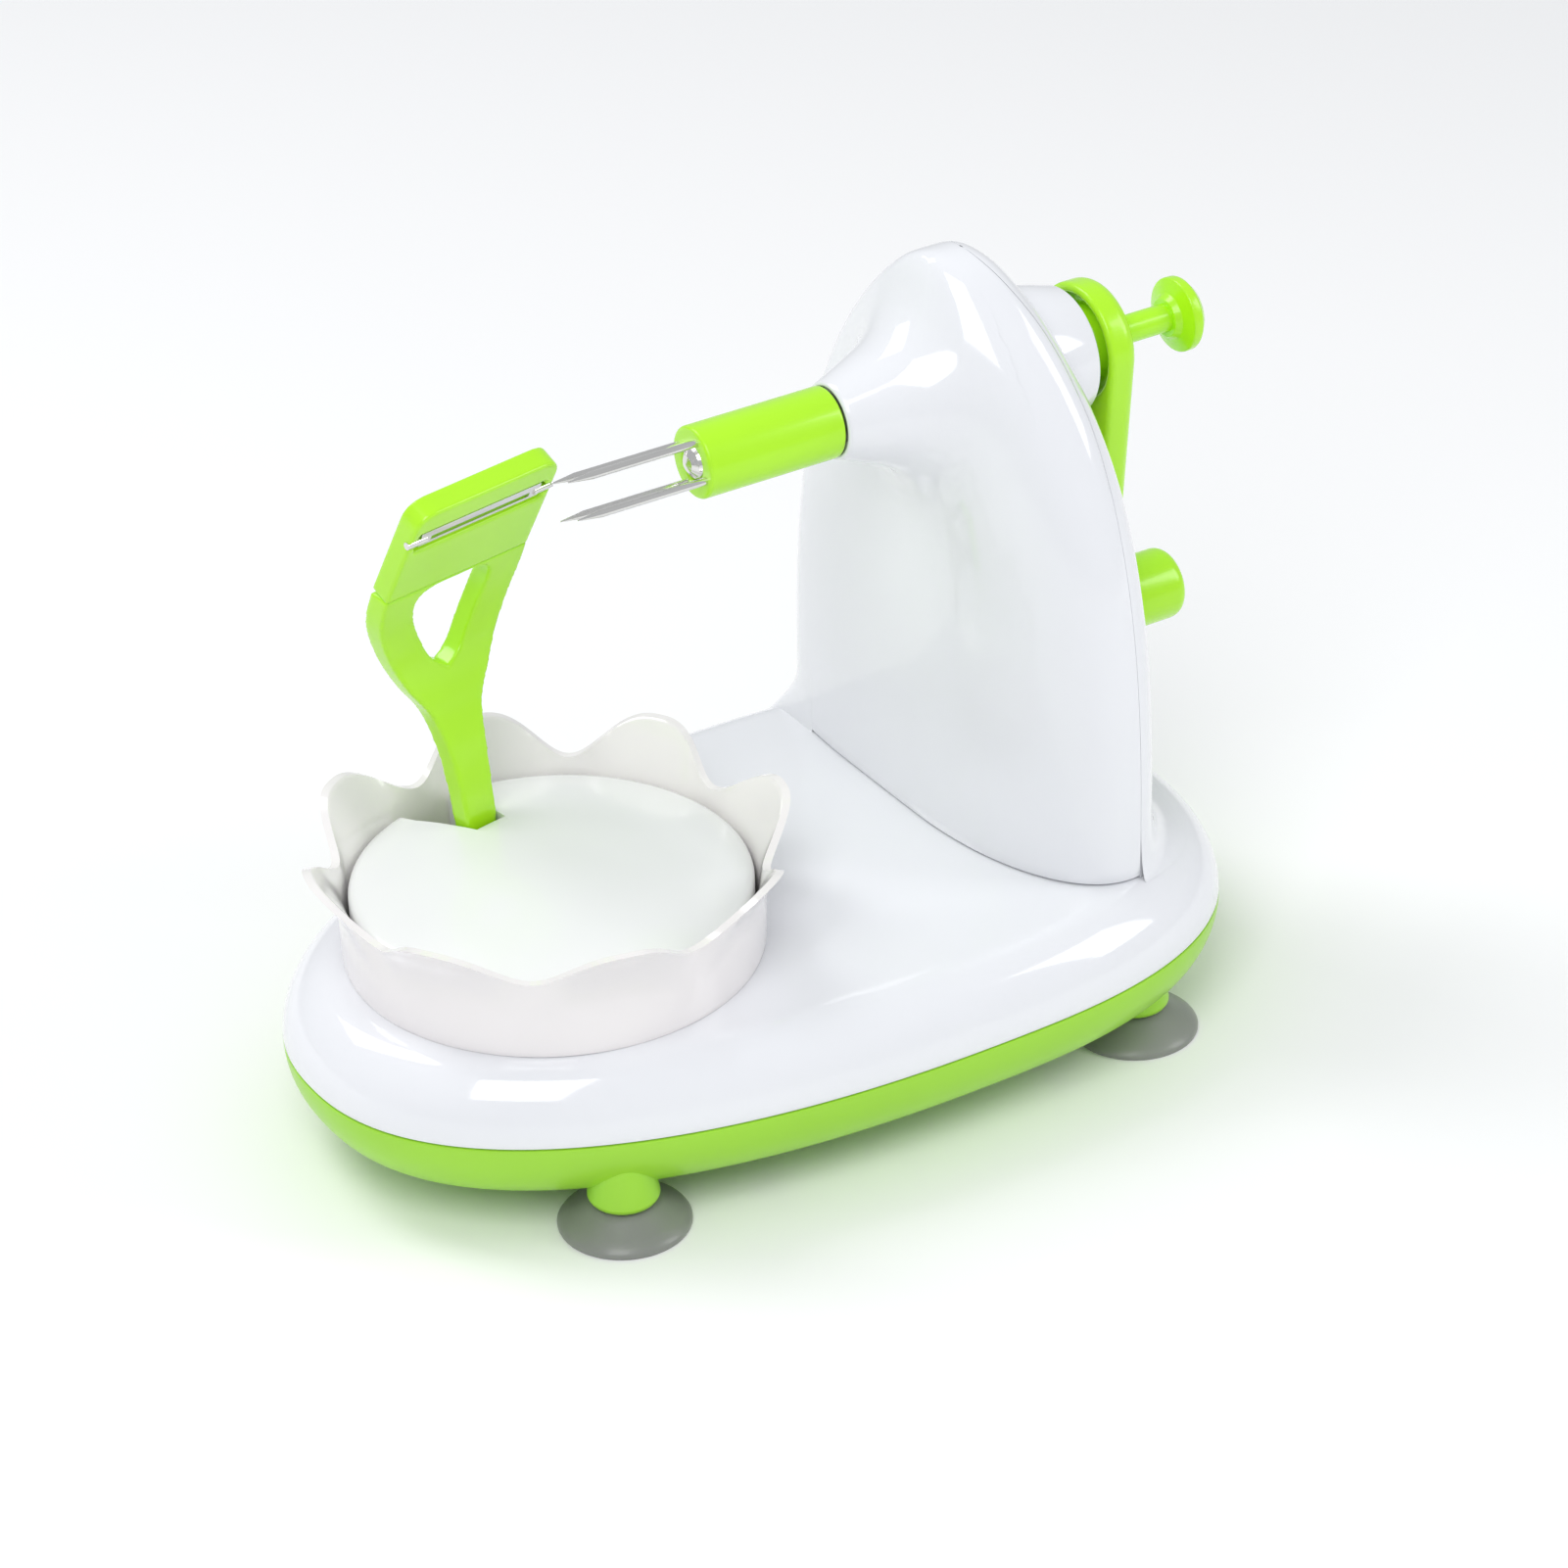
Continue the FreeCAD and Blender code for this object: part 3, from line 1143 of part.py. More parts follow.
os.makedirs("parts", exist_ok=True)
for item in PARTS:
    shape = item.Shape
    if shape.isNull() or not shape.isValid() or not shape.Solids:
        raise RuntimeError(f"{item.Label} has no valid shape")
    shape.exportStep(f"parts/{item.Label}.step")
    print(f"{item.Label:24s} {len(shape.Solids):2d} solids {shape.Volume:10.1f} mm3")
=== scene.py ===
"""Looks for the hand-cranked apple peeler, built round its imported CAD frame.

Shapes are worked out in millimetres in the frame's own axes: +X points to the crank, +Y to the side
where the peeling arm rests, +Z up. They turn into metres when a mesh is made.
"""
import math

import bmesh
import bpy
from mathutils import Matrix, Vector


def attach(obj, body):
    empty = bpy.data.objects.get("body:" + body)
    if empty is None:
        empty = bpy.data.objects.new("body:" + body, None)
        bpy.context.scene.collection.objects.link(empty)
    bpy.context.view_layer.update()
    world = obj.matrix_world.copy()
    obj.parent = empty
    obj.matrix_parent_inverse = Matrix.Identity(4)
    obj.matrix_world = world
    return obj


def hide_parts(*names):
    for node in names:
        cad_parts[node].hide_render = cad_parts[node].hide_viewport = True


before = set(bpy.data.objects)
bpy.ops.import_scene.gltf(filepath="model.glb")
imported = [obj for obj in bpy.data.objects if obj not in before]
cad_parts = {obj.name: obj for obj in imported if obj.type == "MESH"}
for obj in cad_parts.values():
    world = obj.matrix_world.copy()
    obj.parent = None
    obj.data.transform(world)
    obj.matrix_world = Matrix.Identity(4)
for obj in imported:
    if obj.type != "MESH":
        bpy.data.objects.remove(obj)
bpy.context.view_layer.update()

MM = 0.001

# sizes shared with the CAD, in millimetres
BASE_WIDEST, BASE_FRONT, BASE_REAR, BASE_HALF = 15.0, 115.0, 75.0, 60.0
FRONT_POWER, REAR_POWER = 2.25, 2.7
FLOOR_UNDER, SEAM, BASE_TOP = 7.0, 22.0, 36.0
TOP_SHOULDER, BOTTOM_SHOULDER = 11.5, 12.0
WIDEST, TOWER_HALF, TOWER_FRONT, TOWER_REAR, CROWN = 45.0, 48.5, 10.8, 25.7, 155.0
WALL = 2.2
CUPS = {"front_left": (-58.0, 41.7), "front_right": (-58.0, -41.7), "rear_left": (58.0, 41.7),
        "rear_right": (58.0, -41.7)}
BASE_SCREWS = [(-30.0, 47.5), (-30.0, -47.5), (36.0, 48.0), (36.0, -48.0), (79.0, 0.0)]
COVER_EDGE = 57.0
FORK = 127.0
CRANK_REACH = 58.0
TABLE_X, TABLE_R, TABLE_EDGE, TABLE_DOME = -47.0, 38.2, 49.7, 6.0
ARM_ANGLE = math.radians(11.0)


# ---------------------------------------------------------------- meshes
def finish_mesh(name, verts, faces, material, smooth=True):
    """Makes an object from millimetre vertices, with its faces turned outward."""
    mesh = bpy.data.meshes.new(name)
    mesh.from_pydata([Vector(v) * MM for v in verts], [], faces)
    bm = bmesh.new()
    bm.from_mesh(mesh)
    bmesh.ops.remove_doubles(bm, verts=bm.verts, dist=1e-7)
    bmesh.ops.recalc_face_normals(bm, faces=bm.faces)
    bm.to_mesh(mesh)
    bm.free()
    for polygon in mesh.polygons:
        polygon.use_smooth = smooth
    obj = bpy.data.objects.new(name, mesh)
    bpy.context.scene.collection.objects.link(obj)
    if material:
        mesh.materials.append(material)
    return obj


def by_angle(obj, degrees=32):
    """Keeps edges sharper than an angle crisp in the shading."""
    mesh = obj.data
    bm = bmesh.new()
    bm.from_mesh(mesh)
    limit = math.radians(degrees)
    for edge in bm.edges:
        edge.smooth = not (len(edge.link_faces) == 2 and edge.calc_face_angle(0) > limit)
    for face in bm.faces:
        face.smooth = True
    bm.to_mesh(mesh)
    bm.free()
    return obj


def skin(rings, close_ring=True, close_loft=False, cap_start=False, cap_end=False):
    """Vertices and faces between rings of equal length."""
    count = len(rings[0])
    verts = [point for ring in rings for point in ring]
    faces = []
    for j in range(len(rings) if close_loft else len(rings) - 1):
        following = (j + 1) % len(rings)
        for i in range(count if close_ring else count - 1):
            k = (i + 1) % count
            faces.append((j * count + i, j * count + k, following * count + k, following * count + i))
    if cap_start:
        faces.append(tuple(reversed(range(count))))
    if cap_end:
        faces.append(tuple(range((len(rings) - 1) * count, len(rings) * count)))
    return verts, faces


def rounded(corners, steps=6, closed=False):
    """A polyline through (a, r) corners; a third number rounds that corner with a radius."""
    points = []
    total = len(corners)
    for i, corner in enumerate(corners):
        here = Vector(corner[:2])
        radius = corner[2] if len(corner) > 2 else 0
        if not radius or (not closed and i in (0, total - 1)):
            points.append(here)
            continue
        before = (Vector(corners[i - 1][:2]) - here)
        after = (Vector(corners[(i + 1) % total][:2]) - here)
        angle = before.angle(after)
        reach = min(radius / math.tan(angle / 2), before.length * 0.5, after.length * 0.5)
        start = here + before.normalized() * reach
        end = here + after.normalized() * reach
        for step in range(steps + 1):
            t = step / steps
            points.append(start * (1 - t) ** 2 + here * 2 * t * (1 - t) + end * t ** 2)
    return points


def smooth_curve(points, per_span=6):
    """A Catmull-Rom curve through (a, r) points."""
    pts = [Vector(p) for p in points]
    out = []
    for i in range(len(pts) - 1):
        p0 = pts[max(i - 1, 0)]
        p1, p2 = pts[i], pts[i + 1]
        p3 = pts[min(i + 2, len(pts) - 1)]
        for step in range(per_span):
            t = step / per_span
            out.append(0.5 * (2 * p1 + (p2 - p0) * t + (2 * p0 - 5 * p1 + 4 * p2 - p3) * t ** 2
                              + (3 * p1 - p0 - 3 * p2 + p3) * t ** 3))
    out.append(pts[-1])
    return out


def lathe(name, profile, material, axis="X", origin=(0, 0, 0), steps=96, closed=True):
    """Turns a profile of (along, radius) points about an axis through the origin given."""
    rings = []
    for a, r in profile:
        ring = []
        for i in range(steps):
            angle = 2 * math.pi * i / steps
            u, v = max(r, 0.0) * math.cos(angle), max(r, 0.0) * math.sin(angle)
            point = (a, u, v) if axis == "X" else (u, v, a)
            ring.append(Vector(point) + Vector(origin))
        rings.append(ring)
    verts, faces = skin(rings, close_loft=closed)
    return finish_mesh(name, verts, faces, material)


def clean(obj):
    """Merges doubled points, drops faces with no area and turns normals outward."""
    bm = bmesh.new()
    bm.from_mesh(obj.data)
    bmesh.ops.remove_doubles(bm, verts=bm.verts, dist=1e-6)
    bmesh.ops.dissolve_degenerate(bm, edges=bm.edges, dist=1e-6)
    bmesh.ops.recalc_face_normals(bm, faces=bm.faces)
    bm.to_mesh(obj.data)
    bm.free()
    return obj


def applied(obj):
    """Writes an object's modifiers into its mesh."""
    depsgraph = bpy.context.evaluated_depsgraph_get()
    mesh = bpy.data.meshes.new_from_object(obj.evaluated_get(depsgraph))
    old = obj.data
    obj.modifiers.clear()
    obj.data = mesh
    mesh.name = obj.name
    bpy.data.meshes.remove(old)
    return obj


def boolean(obj, other, operation):
    """Booleans another object into this one and removes the other."""
    modifier = obj.modifiers.new("boolean", "BOOLEAN")
    modifier.object = other
    modifier.operation = operation
    modifier.solver = "EXACT"
    applied(obj)
    bpy.data.objects.remove(other)
    return clean(obj)


def softened(obj, material, voxel, passes, factor=0.5):
    """Rounds every edge of a moulding slightly, by remeshing it finely and smoothing it, and colours it."""
    remesh = obj.modifiers.new("remesh", "REMESH")
    remesh.mode = "VOXEL"
    remesh.voxel_size = voxel * MM
    smooth = obj.modifiers.new("smooth", "SMOOTH")
    smooth.iterations = passes
    smooth.factor = factor
    applied(obj)
    for polygon in obj.data.polygons:
        polygon.use_smooth = True
    obj.data.materials.clear()
    obj.data.materials.append(material)
    return obj


def box(name, low, high):
    """A plain box for cutting with."""
    verts = [(x, y, z) for x in (low[0], high[0]) for y in (low[1], high[1]) for z in (low[2], high[2])]
    faces = [(0, 1, 3, 2), (4, 6, 7, 5), (0, 4, 5, 1), (2, 3, 7, 6), (0, 2, 6, 4), (1, 5, 7, 3)]
    return finish_mesh(name, verts, faces, None, smooth=False)


def tube_between(name, start, end, radius, steps=48):
    """A plain rod between two points, for cutting or joining with."""
    start, end = Vector(start), Vector(end)
    direction = (end - start).normalized()
    side = direction.orthogonal().normalized()
    other = direction.cross(side)
    rings = [[centre + (side * math.cos(2 * math.pi * i / steps) + other * math.sin(2 * math.pi * i / steps)) * radius
              for i in range(steps)] for centre in (start, end)]
    verts, faces = skin(rings, cap_start=True, cap_end=True)
    return finish_mesh(name, verts, faces, None)


def piece(obj, body, slot, *nodes):
    """Makes an object ride on a body and stand for CAD nodes."""
    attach(obj, body)
    if nodes:
        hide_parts(*nodes)
    return obj


# ---------------------------------------------------------------- materials
def plastic(name, colour, roughness, speckle, grain=0.0, coat=0.35, subsurface=0.0):
    """Moulded plastic: flow marks in the colour, a waxy variation in the gloss and a faint surface ripple."""
    material = bpy.data.materials.new(name)
    material.use_nodes = True
    nodes, links = material.node_tree.nodes, material.node_tree.links
    shader = nodes["Principled BSDF"]
    shader.inputs["Coat Weight"].default_value = coat
    shader.inputs["Coat Roughness"].default_value = 0.06
    shader.inputs["IOR"].default_value = 1.5
    if subsurface:
        shader.inputs["Subsurface Weight"].default_value = subsurface
        shader.inputs["Subsurface Radius"].default_value = (0.004, 0.004, 0.003)
        shader.inputs["Subsurface Scale"].default_value = 0.5
    place = nodes.new("ShaderNodeTexCoord")
    flow = nodes.new("ShaderNodeTexNoise")
    flow.inputs["Scale"].default_value = 28.0
    flow.inputs["Detail"].default_value = 3.0
    links.new(place.outputs["Object"], flow.inputs["Vector"])
    ramp = nodes.new("ShaderNodeValToRGB")
    darker = [c * (1 - speckle) for c in colour]
    lighter = [min(1.0, c * (1 + speckle)) for c in colour]
    ramp.color_ramp.elements[0].position = 0.3
    ramp.color_ramp.elements[1].position = 0.7
    ramp.color_ramp.elements[0].color = (*darker, 1)
    ramp.color_ramp.elements[1].color = (*lighter, 1)
    links.new(flow.outputs["Fac"], ramp.inputs["Fac"])
    links.new(ramp.outputs["Color"], shader.inputs["Base Color"])
    gloss = nodes.new("ShaderNodeMapRange")
    gloss.inputs["To Min"].default_value = roughness * 0.85
    gloss.inputs["To Max"].default_value = roughness * 1.2
    links.new(flow.outputs["Fac"], gloss.inputs["Value"])
    links.new(gloss.outputs["Result"], shader.inputs["Roughness"])
    fine = nodes.new("ShaderNodeTexNoise")
    fine.inputs["Scale"].default_value = 900.0 if grain else 140.0
    fine.inputs["Detail"].default_value = 2.0
    links.new(place.outputs["Object"], fine.inputs["Vector"])
    bump = nodes.new("ShaderNodeBump")
    bump.inputs["Strength"].default_value = grain or 0.012
    bump.inputs["Distance"].default_value = 0.0002
    links.new(fine.outputs["Fac"], bump.inputs["Height"])
    links.new(bump.outputs["Normal"], shader.inputs["Normal"])
    return material


def rubber(name, colour):
    """Soft grey rubber: duller and grainier than the plastics."""
    return plastic(name, colour, roughness=0.34, speckle=0.05, grain=0.12, coat=0.1, subsurface=0.15)


def steel(name, colour, roughness=0.22, scale=(2000.0, 40.0, 40.0), strength=0.06):
    """Steel drawn or turned along X: fine lines in its gloss and surface."""
    material = bpy.data.materials.new(name)
    material.use_nodes = True
    nodes, links = material.node_tree.nodes, material.node_tree.links
    shader = nodes["Principled BSDF"]
    shader.inputs["Metallic"].default_value = 1.0
    place = nodes.new("ShaderNodeTexCoord")
    stretch = nodes.new("ShaderNodeMapping")
    stretch.inputs["Scale"].default_value = scale
    links.new(place.outputs["Object"], stretch.inputs["Vector"])
    lines = nodes.new("ShaderNodeTexNoise")
    lines.inputs["Scale"].default_value = 1.0
    lines.inputs["Detail"].default_value = 4.0
    links.new(stretch.outputs["Vector"], lines.inputs["Vector"])
    ramp = nodes.new("ShaderNodeValToRGB")
    ramp.color_ramp.elements[0].color = (*[c * 0.85 for c in colour], 1)
    ramp.color_ramp.elements[1].color = (*colour, 1)
    links.new(lines.outputs["Fac"], ramp.inputs["Fac"])
    links.new(ramp.outputs["Color"], shader.inputs["Base Color"])
    gloss = nodes.new("ShaderNodeMapRange")
    gloss.inputs["To Min"].default_value = roughness * 0.7
    gloss.inputs["To Max"].default_value = roughness * 1.3
    links.new(lines.outputs["Fac"], gloss.inputs["Value"])
    links.new(gloss.outputs["Result"], shader.inputs["Roughness"])
    bump = nodes.new("ShaderNodeBump")
    bump.inputs["Strength"].default_value = strength
    bump.inputs["Distance"].default_value = 0.0001
    links.new(lines.outputs["Fac"], bump.inputs["Height"])
    links.new(bump.outputs["Normal"], shader.inputs["Normal"])
    return material


WHITE = plastic("white_gloss", (0.82, 0.83, 0.86), roughness=0.10, coat=0.6, speckle=0.008)
BOWL_WHITE = plastic("bowl_white", (0.86, 0.83, 0.83), roughness=0.16, coat=0.4, speckle=0.01)
TABLE_WHITE = plastic("table_white", (0.83, 0.835, 0.84), roughness=0.24, coat=0.25, speckle=0.01)
LIME = plastic("lime", (0.43, 0.86, 0.012), roughness=0.24, coat=0.25, speckle=0.03)
LIME_BASE = plastic("lime_base", (0.34, 0.70, 0.03), roughness=0.32, coat=0.12, speckle=0.03)
GREY_RUBBER = rubber("grey_rubber", (0.24, 0.25, 0.23))
ACETAL = plastic("acetal", (0.74, 0.74, 0.71), roughness=0.38, coat=0.0, speckle=0.02, grain=0.05)
# dark grey that paints the shade in the gap under the tower's front cover
SHADOW_GAP = plastic("painted_gap_shade", (0.16, 0.16, 0.17), roughness=0.5, coat=0.0, speckle=0.02)
STEEL = steel("turned_steel", (0.62, 0.62, 0.63))
BRIGHT = steel("bright_steel", (0.80, 0.79, 0.77), roughness=0.14, scale=(60.0, 900.0, 900.0), strength=0.03)
WIRE = steel("spring_wire", (0.55, 0.55, 0.56), roughness=0.3)
SCREW = steel("screw_steel", (0.58, 0.58, 0.6), roughness=0.28, scale=(400.0, 400.0, 60.0))


# ---------------------------------------------------------------- base
def around(count):
    """Evenly spaced angles over a full turn."""
    return [2 * math.pi * i / count for i in range(count)]


def base_outline(inset, height, count=256):
    """The base's outline at one height: a long front half and a blunt rear half."""
    ring = []
    for i in range(count):
        angle = 2 * math.pi * i / count
        c, s = math.cos(angle), math.sin(angle)
        reach, power = (BASE_REAR, REAR_POWER) if c > 0 else (BASE_FRONT, FRONT_POWER)
        scale = (abs(c) ** power + abs(s) ** power) ** (-1 / power)
        ring.append(Vector((BASE_WIDEST + (reach - inset) * c * scale, (BASE_HALF - inset) * s * scale, height)))
    return ring


def shoulder(inset, depth, seam, end, steps, start=0):
    """Rings along an elliptical shoulder from the seam to a flat face."""
    rings = []
    for i in range(start, steps + 1):
        angle = math.pi / 2 * i / steps
        rings.append(base_outline(inset + depth * (1 - math.cos(angle)), seam + (end - seam) * math.sin(angle)))
    return rings


def circle(radius, height, along=TABLE_X, count=256):
    """A level circle about the table's axis."""
    ring = []
    for angle in around(count):
        ring.append(Vector((along + radius * math.cos(angle), radius * math.sin(angle), height)))
    return ring


def base_height(x, y):
    """How high the white shell's surface is over a point on the table."""
    low, high = 0.0, TOP_SHOULDER
    if not inside(x, y, high):
        for _ in range(24):
            middle = (low + high) / 2
            if inside(x, y, middle):
                low = middle
            else:
                high = middle
        share = 1 - low / TOP_SHOULDER
        return SEAM + (BASE_TOP - SEAM) * math.sqrt(max(0.0, 1 - share * share))
    return BASE_TOP


def inside(x, y, inset):
    """Whether a point is within the base's outline, drawn in by an inset."""
    reach, power = (BASE_REAR, REAR_POWER) if x > BASE_WIDEST else (BASE_FRONT, FRONT_POWER)
    return (abs(x - BASE_WIDEST) / (reach - inset)) ** power + (abs(y) / (BASE_HALF - inset)) ** power <= 1


def base_top():
    """The white shell: a lip at the seam, its shoulder, the well under the table, and its inside."""
    lip, well, well_round = 0.15, 36.0, 0.6
    rings = [base_outline(WALL, SEAM + lip), base_outline(0.5, SEAM + lip), base_outline(0.12, SEAM + 0.25),
             base_outline(0.0, SEAM + 0.55)]
    rings += shoulder(0.0, TOP_SHOULDER, SEAM, BASE_TOP, 28, start=2)
    flat = rings[-1]
    opening = circle(well + well_round, BASE_TOP)
    for share in (0.12, 0.3, 0.6, 0.85):
        rings.append([a.lerp(b, share) for a, b in zip(flat, opening)])
    under = BASE_TOP - WALL
    rings += [opening, circle(well + lip, BASE_TOP - lip), circle(well, BASE_TOP - well_round), circle(well, under)]
    inner_top = base_outline(TOP_SHOULDER + WALL / 2, under)
    rings += [[a.lerp(b, 0.5) for a, b in zip(circle(well, under), inner_top)], inner_top]
    rings += list(reversed(shoulder(WALL, TOP_SHOULDER - WALL / 2, SEAM, under, 10, start=1)))
    verts, faces = skin(rings, close_loft=True)
    top = by_angle(finish_mesh("base_top_skin", verts, faces, WHITE), 50)
    piece(top, "base", "white_plastic", "base_top_shell")


def base_bottom():
    """The lime shell: its shoulder and floor outside and inside, a stub over each cup, screw recesses."""
    rings = [base_outline(WALL, SEAM - 0.1), base_outline(0.5, SEAM - 0.1), base_outline(0.12, SEAM - 0.2),
             base_outline(0.0, SEAM - 0.5)]
    rings += shoulder(0.0, BOTTOM_SHOULDER, SEAM, FLOOR_UNDER, 28, start=1)
    rings.append([point.lerp(Vector((0, 0, FLOOR_UNDER)), 0.1) for point in rings[-1]])
    inner = shoulder(WALL, BOTTOM_SHOULDER - WALL / 2, SEAM, FLOOR_UNDER + WALL, 10, start=1)
    verts, faces = skin(rings, cap_end=True)
    start = len(verts)
    inner_verts, inner_faces = skin([rings[0]] + inner, cap_end=True)
    verts += inner_verts
    faces += [tuple(start + i for i in face) for face in inner_faces]
    bottom = finish_mesh("base_bottom_skin", verts, faces, LIME_BASE)
    stub_profile = rounded([(14.5, 0), (14.5, 5.4), (6.6, 6.9, 1.2), (5.7, 6.3, 0.5), (5.7, 0)])
    for x, y in CUPS.values():
        stub = lathe("stub", stub_profile, LIME_BASE, "Z", (x, y, 0), 64)
        boolean(bottom, clean(stub), "UNION")
    for x, y in BASE_SCREWS:
        boolean(bottom, tube_between("recess", (x, y, 0), (x, y, 10.9), 3.4), "DIFFERENCE")
    by_angle(bottom, 35)
    piece(bottom, "base", "lime_base_plastic", "base_bottom_shell")


def suction_cups():
    """Four cups: a stem in the stub above and a thin bell that spreads to the table."""
    profile = [(11.0, 0), (11.0, 2.9), (6.2, 2.9), (5.5, 3.4), (5.4, 5.0), (5.0, 6.3), (4.4, 7.3), (3.6, 8.5),
               (2.7, 10.1), (1.9, 11.5), (1.2, 12.3), (0.75, 12.6), (0.35, 12.6), (0.02, 12.45), (0.0, 12.2),
               (0.05, 11.9), (0.45, 11.3), (1.2, 9.8), (2.0, 7.6), (2.7, 5.0), (3.2, 2.4), (3.3, 0)]
    for name, (x, y) in CUPS.items():
        cup = lathe(f"cup_{name}", profile, GREY_RUBBER, "Z", (x, y, 0), 96)
        piece(by_angle(clean(cup), 50), "base", "grey_rubber", f"suction_cup_{name}")


# ---------------------------------------------------------------- tower
# from a level of 0 at the foot to 1 at the crown, each size shrinks by (1 - level ** a) ** b
HALF_CURVE, FRONT_CURVE, REAR_CURVE = (2.95, 0.77), (6.3, 0.26), (3.97, 0.72)
# above this level the crown is a dome, which starts a little higher than the curves do
CAP_LEVEL, CAP_LIFT, CAP_TOP = 0.945, 1.2, 154.7


def shrunk(level, curve):
    """What is left of a size at a level."""
    return (1 - level ** curve[0]) ** curve[1]


def tower_at(level):
    """Half width, front depth, rear depth and height of the tower at a level from foot to crown."""
    under = min(level, CAP_LEVEL)
    over = max(level - CAP_LEVEL, 0.0) / (1 - CAP_LEVEL)
    share = math.sqrt(max(0.0, 1 - over))
    half = TOWER_HALF * shrunk(under, HALF_CURVE) * share
    front = TOWER_FRONT * shrunk(under, FRONT_CURVE) * share ** 0.35
    rear = TOWER_REAR * shrunk(under, REAR_CURVE) * share ** 0.9
    height = BASE_TOP + (CROWN - BASE_TOP) * under + CAP_LIFT * (under / CAP_LEVEL) ** 8
    return half, front, rear, height + (CAP_TOP - height) * over


def level_at(height):
    """The level whose outline lies at a height."""
    low, high = 0.0, 1.0
    for _ in range(30):
        middle = (low + high) / 2
        if tower_at(middle)[3] < height:
            low = middle
        else:
            high = middle
    return low


LEVELS = 90
CHAIN_STEPS = 160
CHAIN_SAMPLES = 720
JOINT_GAP = 0.06


def tower_levels(first=0.0, last=1.0):
    """Levels that crowd towards the last one."""
    return [first + (last - first) * (1 - (1 - i / LEVELS) ** 1.9) for i in range(LEVELS + 1)]


FAR_POWERS, NEAR_POWERS = (5.0, 2.5), (2.1, 2.2)
NEAR_SETBACK, NEAR_NARROWING = 0.39, 0.924


def tower_side(level, far):
    """Middle, half width, and front and rear (depth, power) of one side of the tower at a level."""
    half, front, rear, _ = tower_at(level)
    if far:
        return WIDEST, half, (front, FAR_POWERS[0]), (rear, FAR_POWERS[1])
    setback = NEAR_SETBACK * rear
    near_half = NEAR_NARROWING * half
    return WIDEST + setback, near_half, (front + setback, NEAR_POWERS[0]), (rear - setback, NEAR_POWERS[1])


def tower_point(level, angle, inset):
    """A point of the tower's outline: angle 0 is its rear, a half turn its front."""
    c, s = math.cos(angle), math.sin(angle)
    middle, half, before, behind = tower_side(level, s > 0)
    depth, power = before if c < 0 else behind
    depth, half = max(depth - inset, 0.0), max(half - inset, 0.0)
    scale = (abs(c) ** power + abs(s) ** power) ** (-1 / power)
    return Vector((middle + depth * c * scale, half * s * scale, tower_at(level)[3]))


JOINT_LINE = smooth_curve([(57.0, 20.0), (57.0, 80.0), (57.0, 118.0), (56.2, 130.0), (53.8, 141.0), (49.5, 150.0),
                           (44.0, 158.0)], 12)


def joint_at(height):
    """How far back the joint between the cover and the rear shell is at a height."""
    for low, high in zip(JOINT_LINE, JOINT_LINE[1:]):
        if low.y <= height <= high.y:
            return low.x + (high.x - low.x) * (height - low.y) / (high.y - low.y)
    return COVER_EDGE


def resampled(points, steps):
    """The same polyline through evenly spaced points."""
    lengths = [0.0]
    for a, b in zip(points, points[1:]):
        lengths.append(lengths[-1] + (b - a).length)
    out = []
    k = 0
    for i in range(steps + 1):
        target = lengths[-1] * i / steps
        while k < len(points) - 2 and lengths[k + 1] < target:
            k += 1
        span = lengths[k + 1] - lengths[k]
        out.append(points[k].lerp(points[k + 1], (target - lengths[k]) / span if span > 1e-9 else 0.0))
    return out


def chain(level, side, inset=0.0, far=None):
    """The outline at a level from the near joint to the far one: side -1 round the front, +1 round the rear.

    far moves the far end from the joint to another distance back.
    """
    joint = joint_at(tower_at(level)[3]) + side * JOINT_GAP
    limits = {False: joint, True: joint if far is None else far}
    dense = []
    for i in range(CHAIN_SAMPLES + 1):
        turn = 2 * math.pi * i / CHAIN_SAMPLES
        angle = 2 * math.pi - turn if side < 0 else math.pi + turn
        point = tower_point(level, angle, inset)
        dense.append((point, side * (point.x - limits[math.sin(angle) > 0])))
    points = []
    for (a, over_a), (b, over_b) in zip(dense, dense[1:]):
        if over_a >= 0:
            points.append(a)
        if (over_a >= 0) != (over_b >= 0) and abs(over_a - over_b) < 3:
            points.append(a.lerp(b, over_a / (over_a - over_b)))
    if dense[-1][1] >= 0:
        points.append(dense[-1][0])
    return resampled(points, CHAIN_STEPS)


def front_face(y, z):
    """Where the front cover's surface is at a height and a distance from the middle."""
    middle, half, (depth, power), _ = tower_side(level_at(z), y > 0)
    share = min(abs(y) / max(half, 0.01), 1.0)
    return middle - depth * (1 - share ** power) ** (1 / power)


NOSE = smooth_curve([(7.4, 16.5), (8.4, 19.0), (9.8, 22.5), (12.0, 27.6), (14.4, 31.0), (17.4, 33.2), (21.0, 34.4),
                     (25.0, 34.8), (30.0, 34.8)], 6)
NOSE_FOOT = 34.8
NOSE_BORE, NOSE_RIM, NOSE_REACH = 6.5, 16.5, 26.0
NOSE_BLEND_START, NOSE_BLEND_LENGTH = 9.0, 9.0


def eased(share):
    """A share from 0 to 1 with a soft start and end."""
    return share * share * (3 - 2 * share)


def nose_at(radius):
    """How far forward the nose's cone is at a distance from the fork's axis."""
    for (r0, x0), (r1, x1) in zip(NOSE, NOSE[1:]):
        if radius <= r1:
            return x0 + (x1 - x0) * (radius - r0) / (r1 - r0)
    return NOSE_FOOT


def nose_surface(radius, y, z):
    """The nose's cone near its rim, running out into the cover's own surface further out."""
    share = eased(min(max((radius - NOSE_BLEND_START) / NOSE_BLEND_LENGTH, 0.0), 1.0))
    stood = front_face(y, z) - 0.03 - max(NOSE_FOOT - nose_at(radius), 0.0)
    return nose_at(radius) * (1 - share) + stood * share


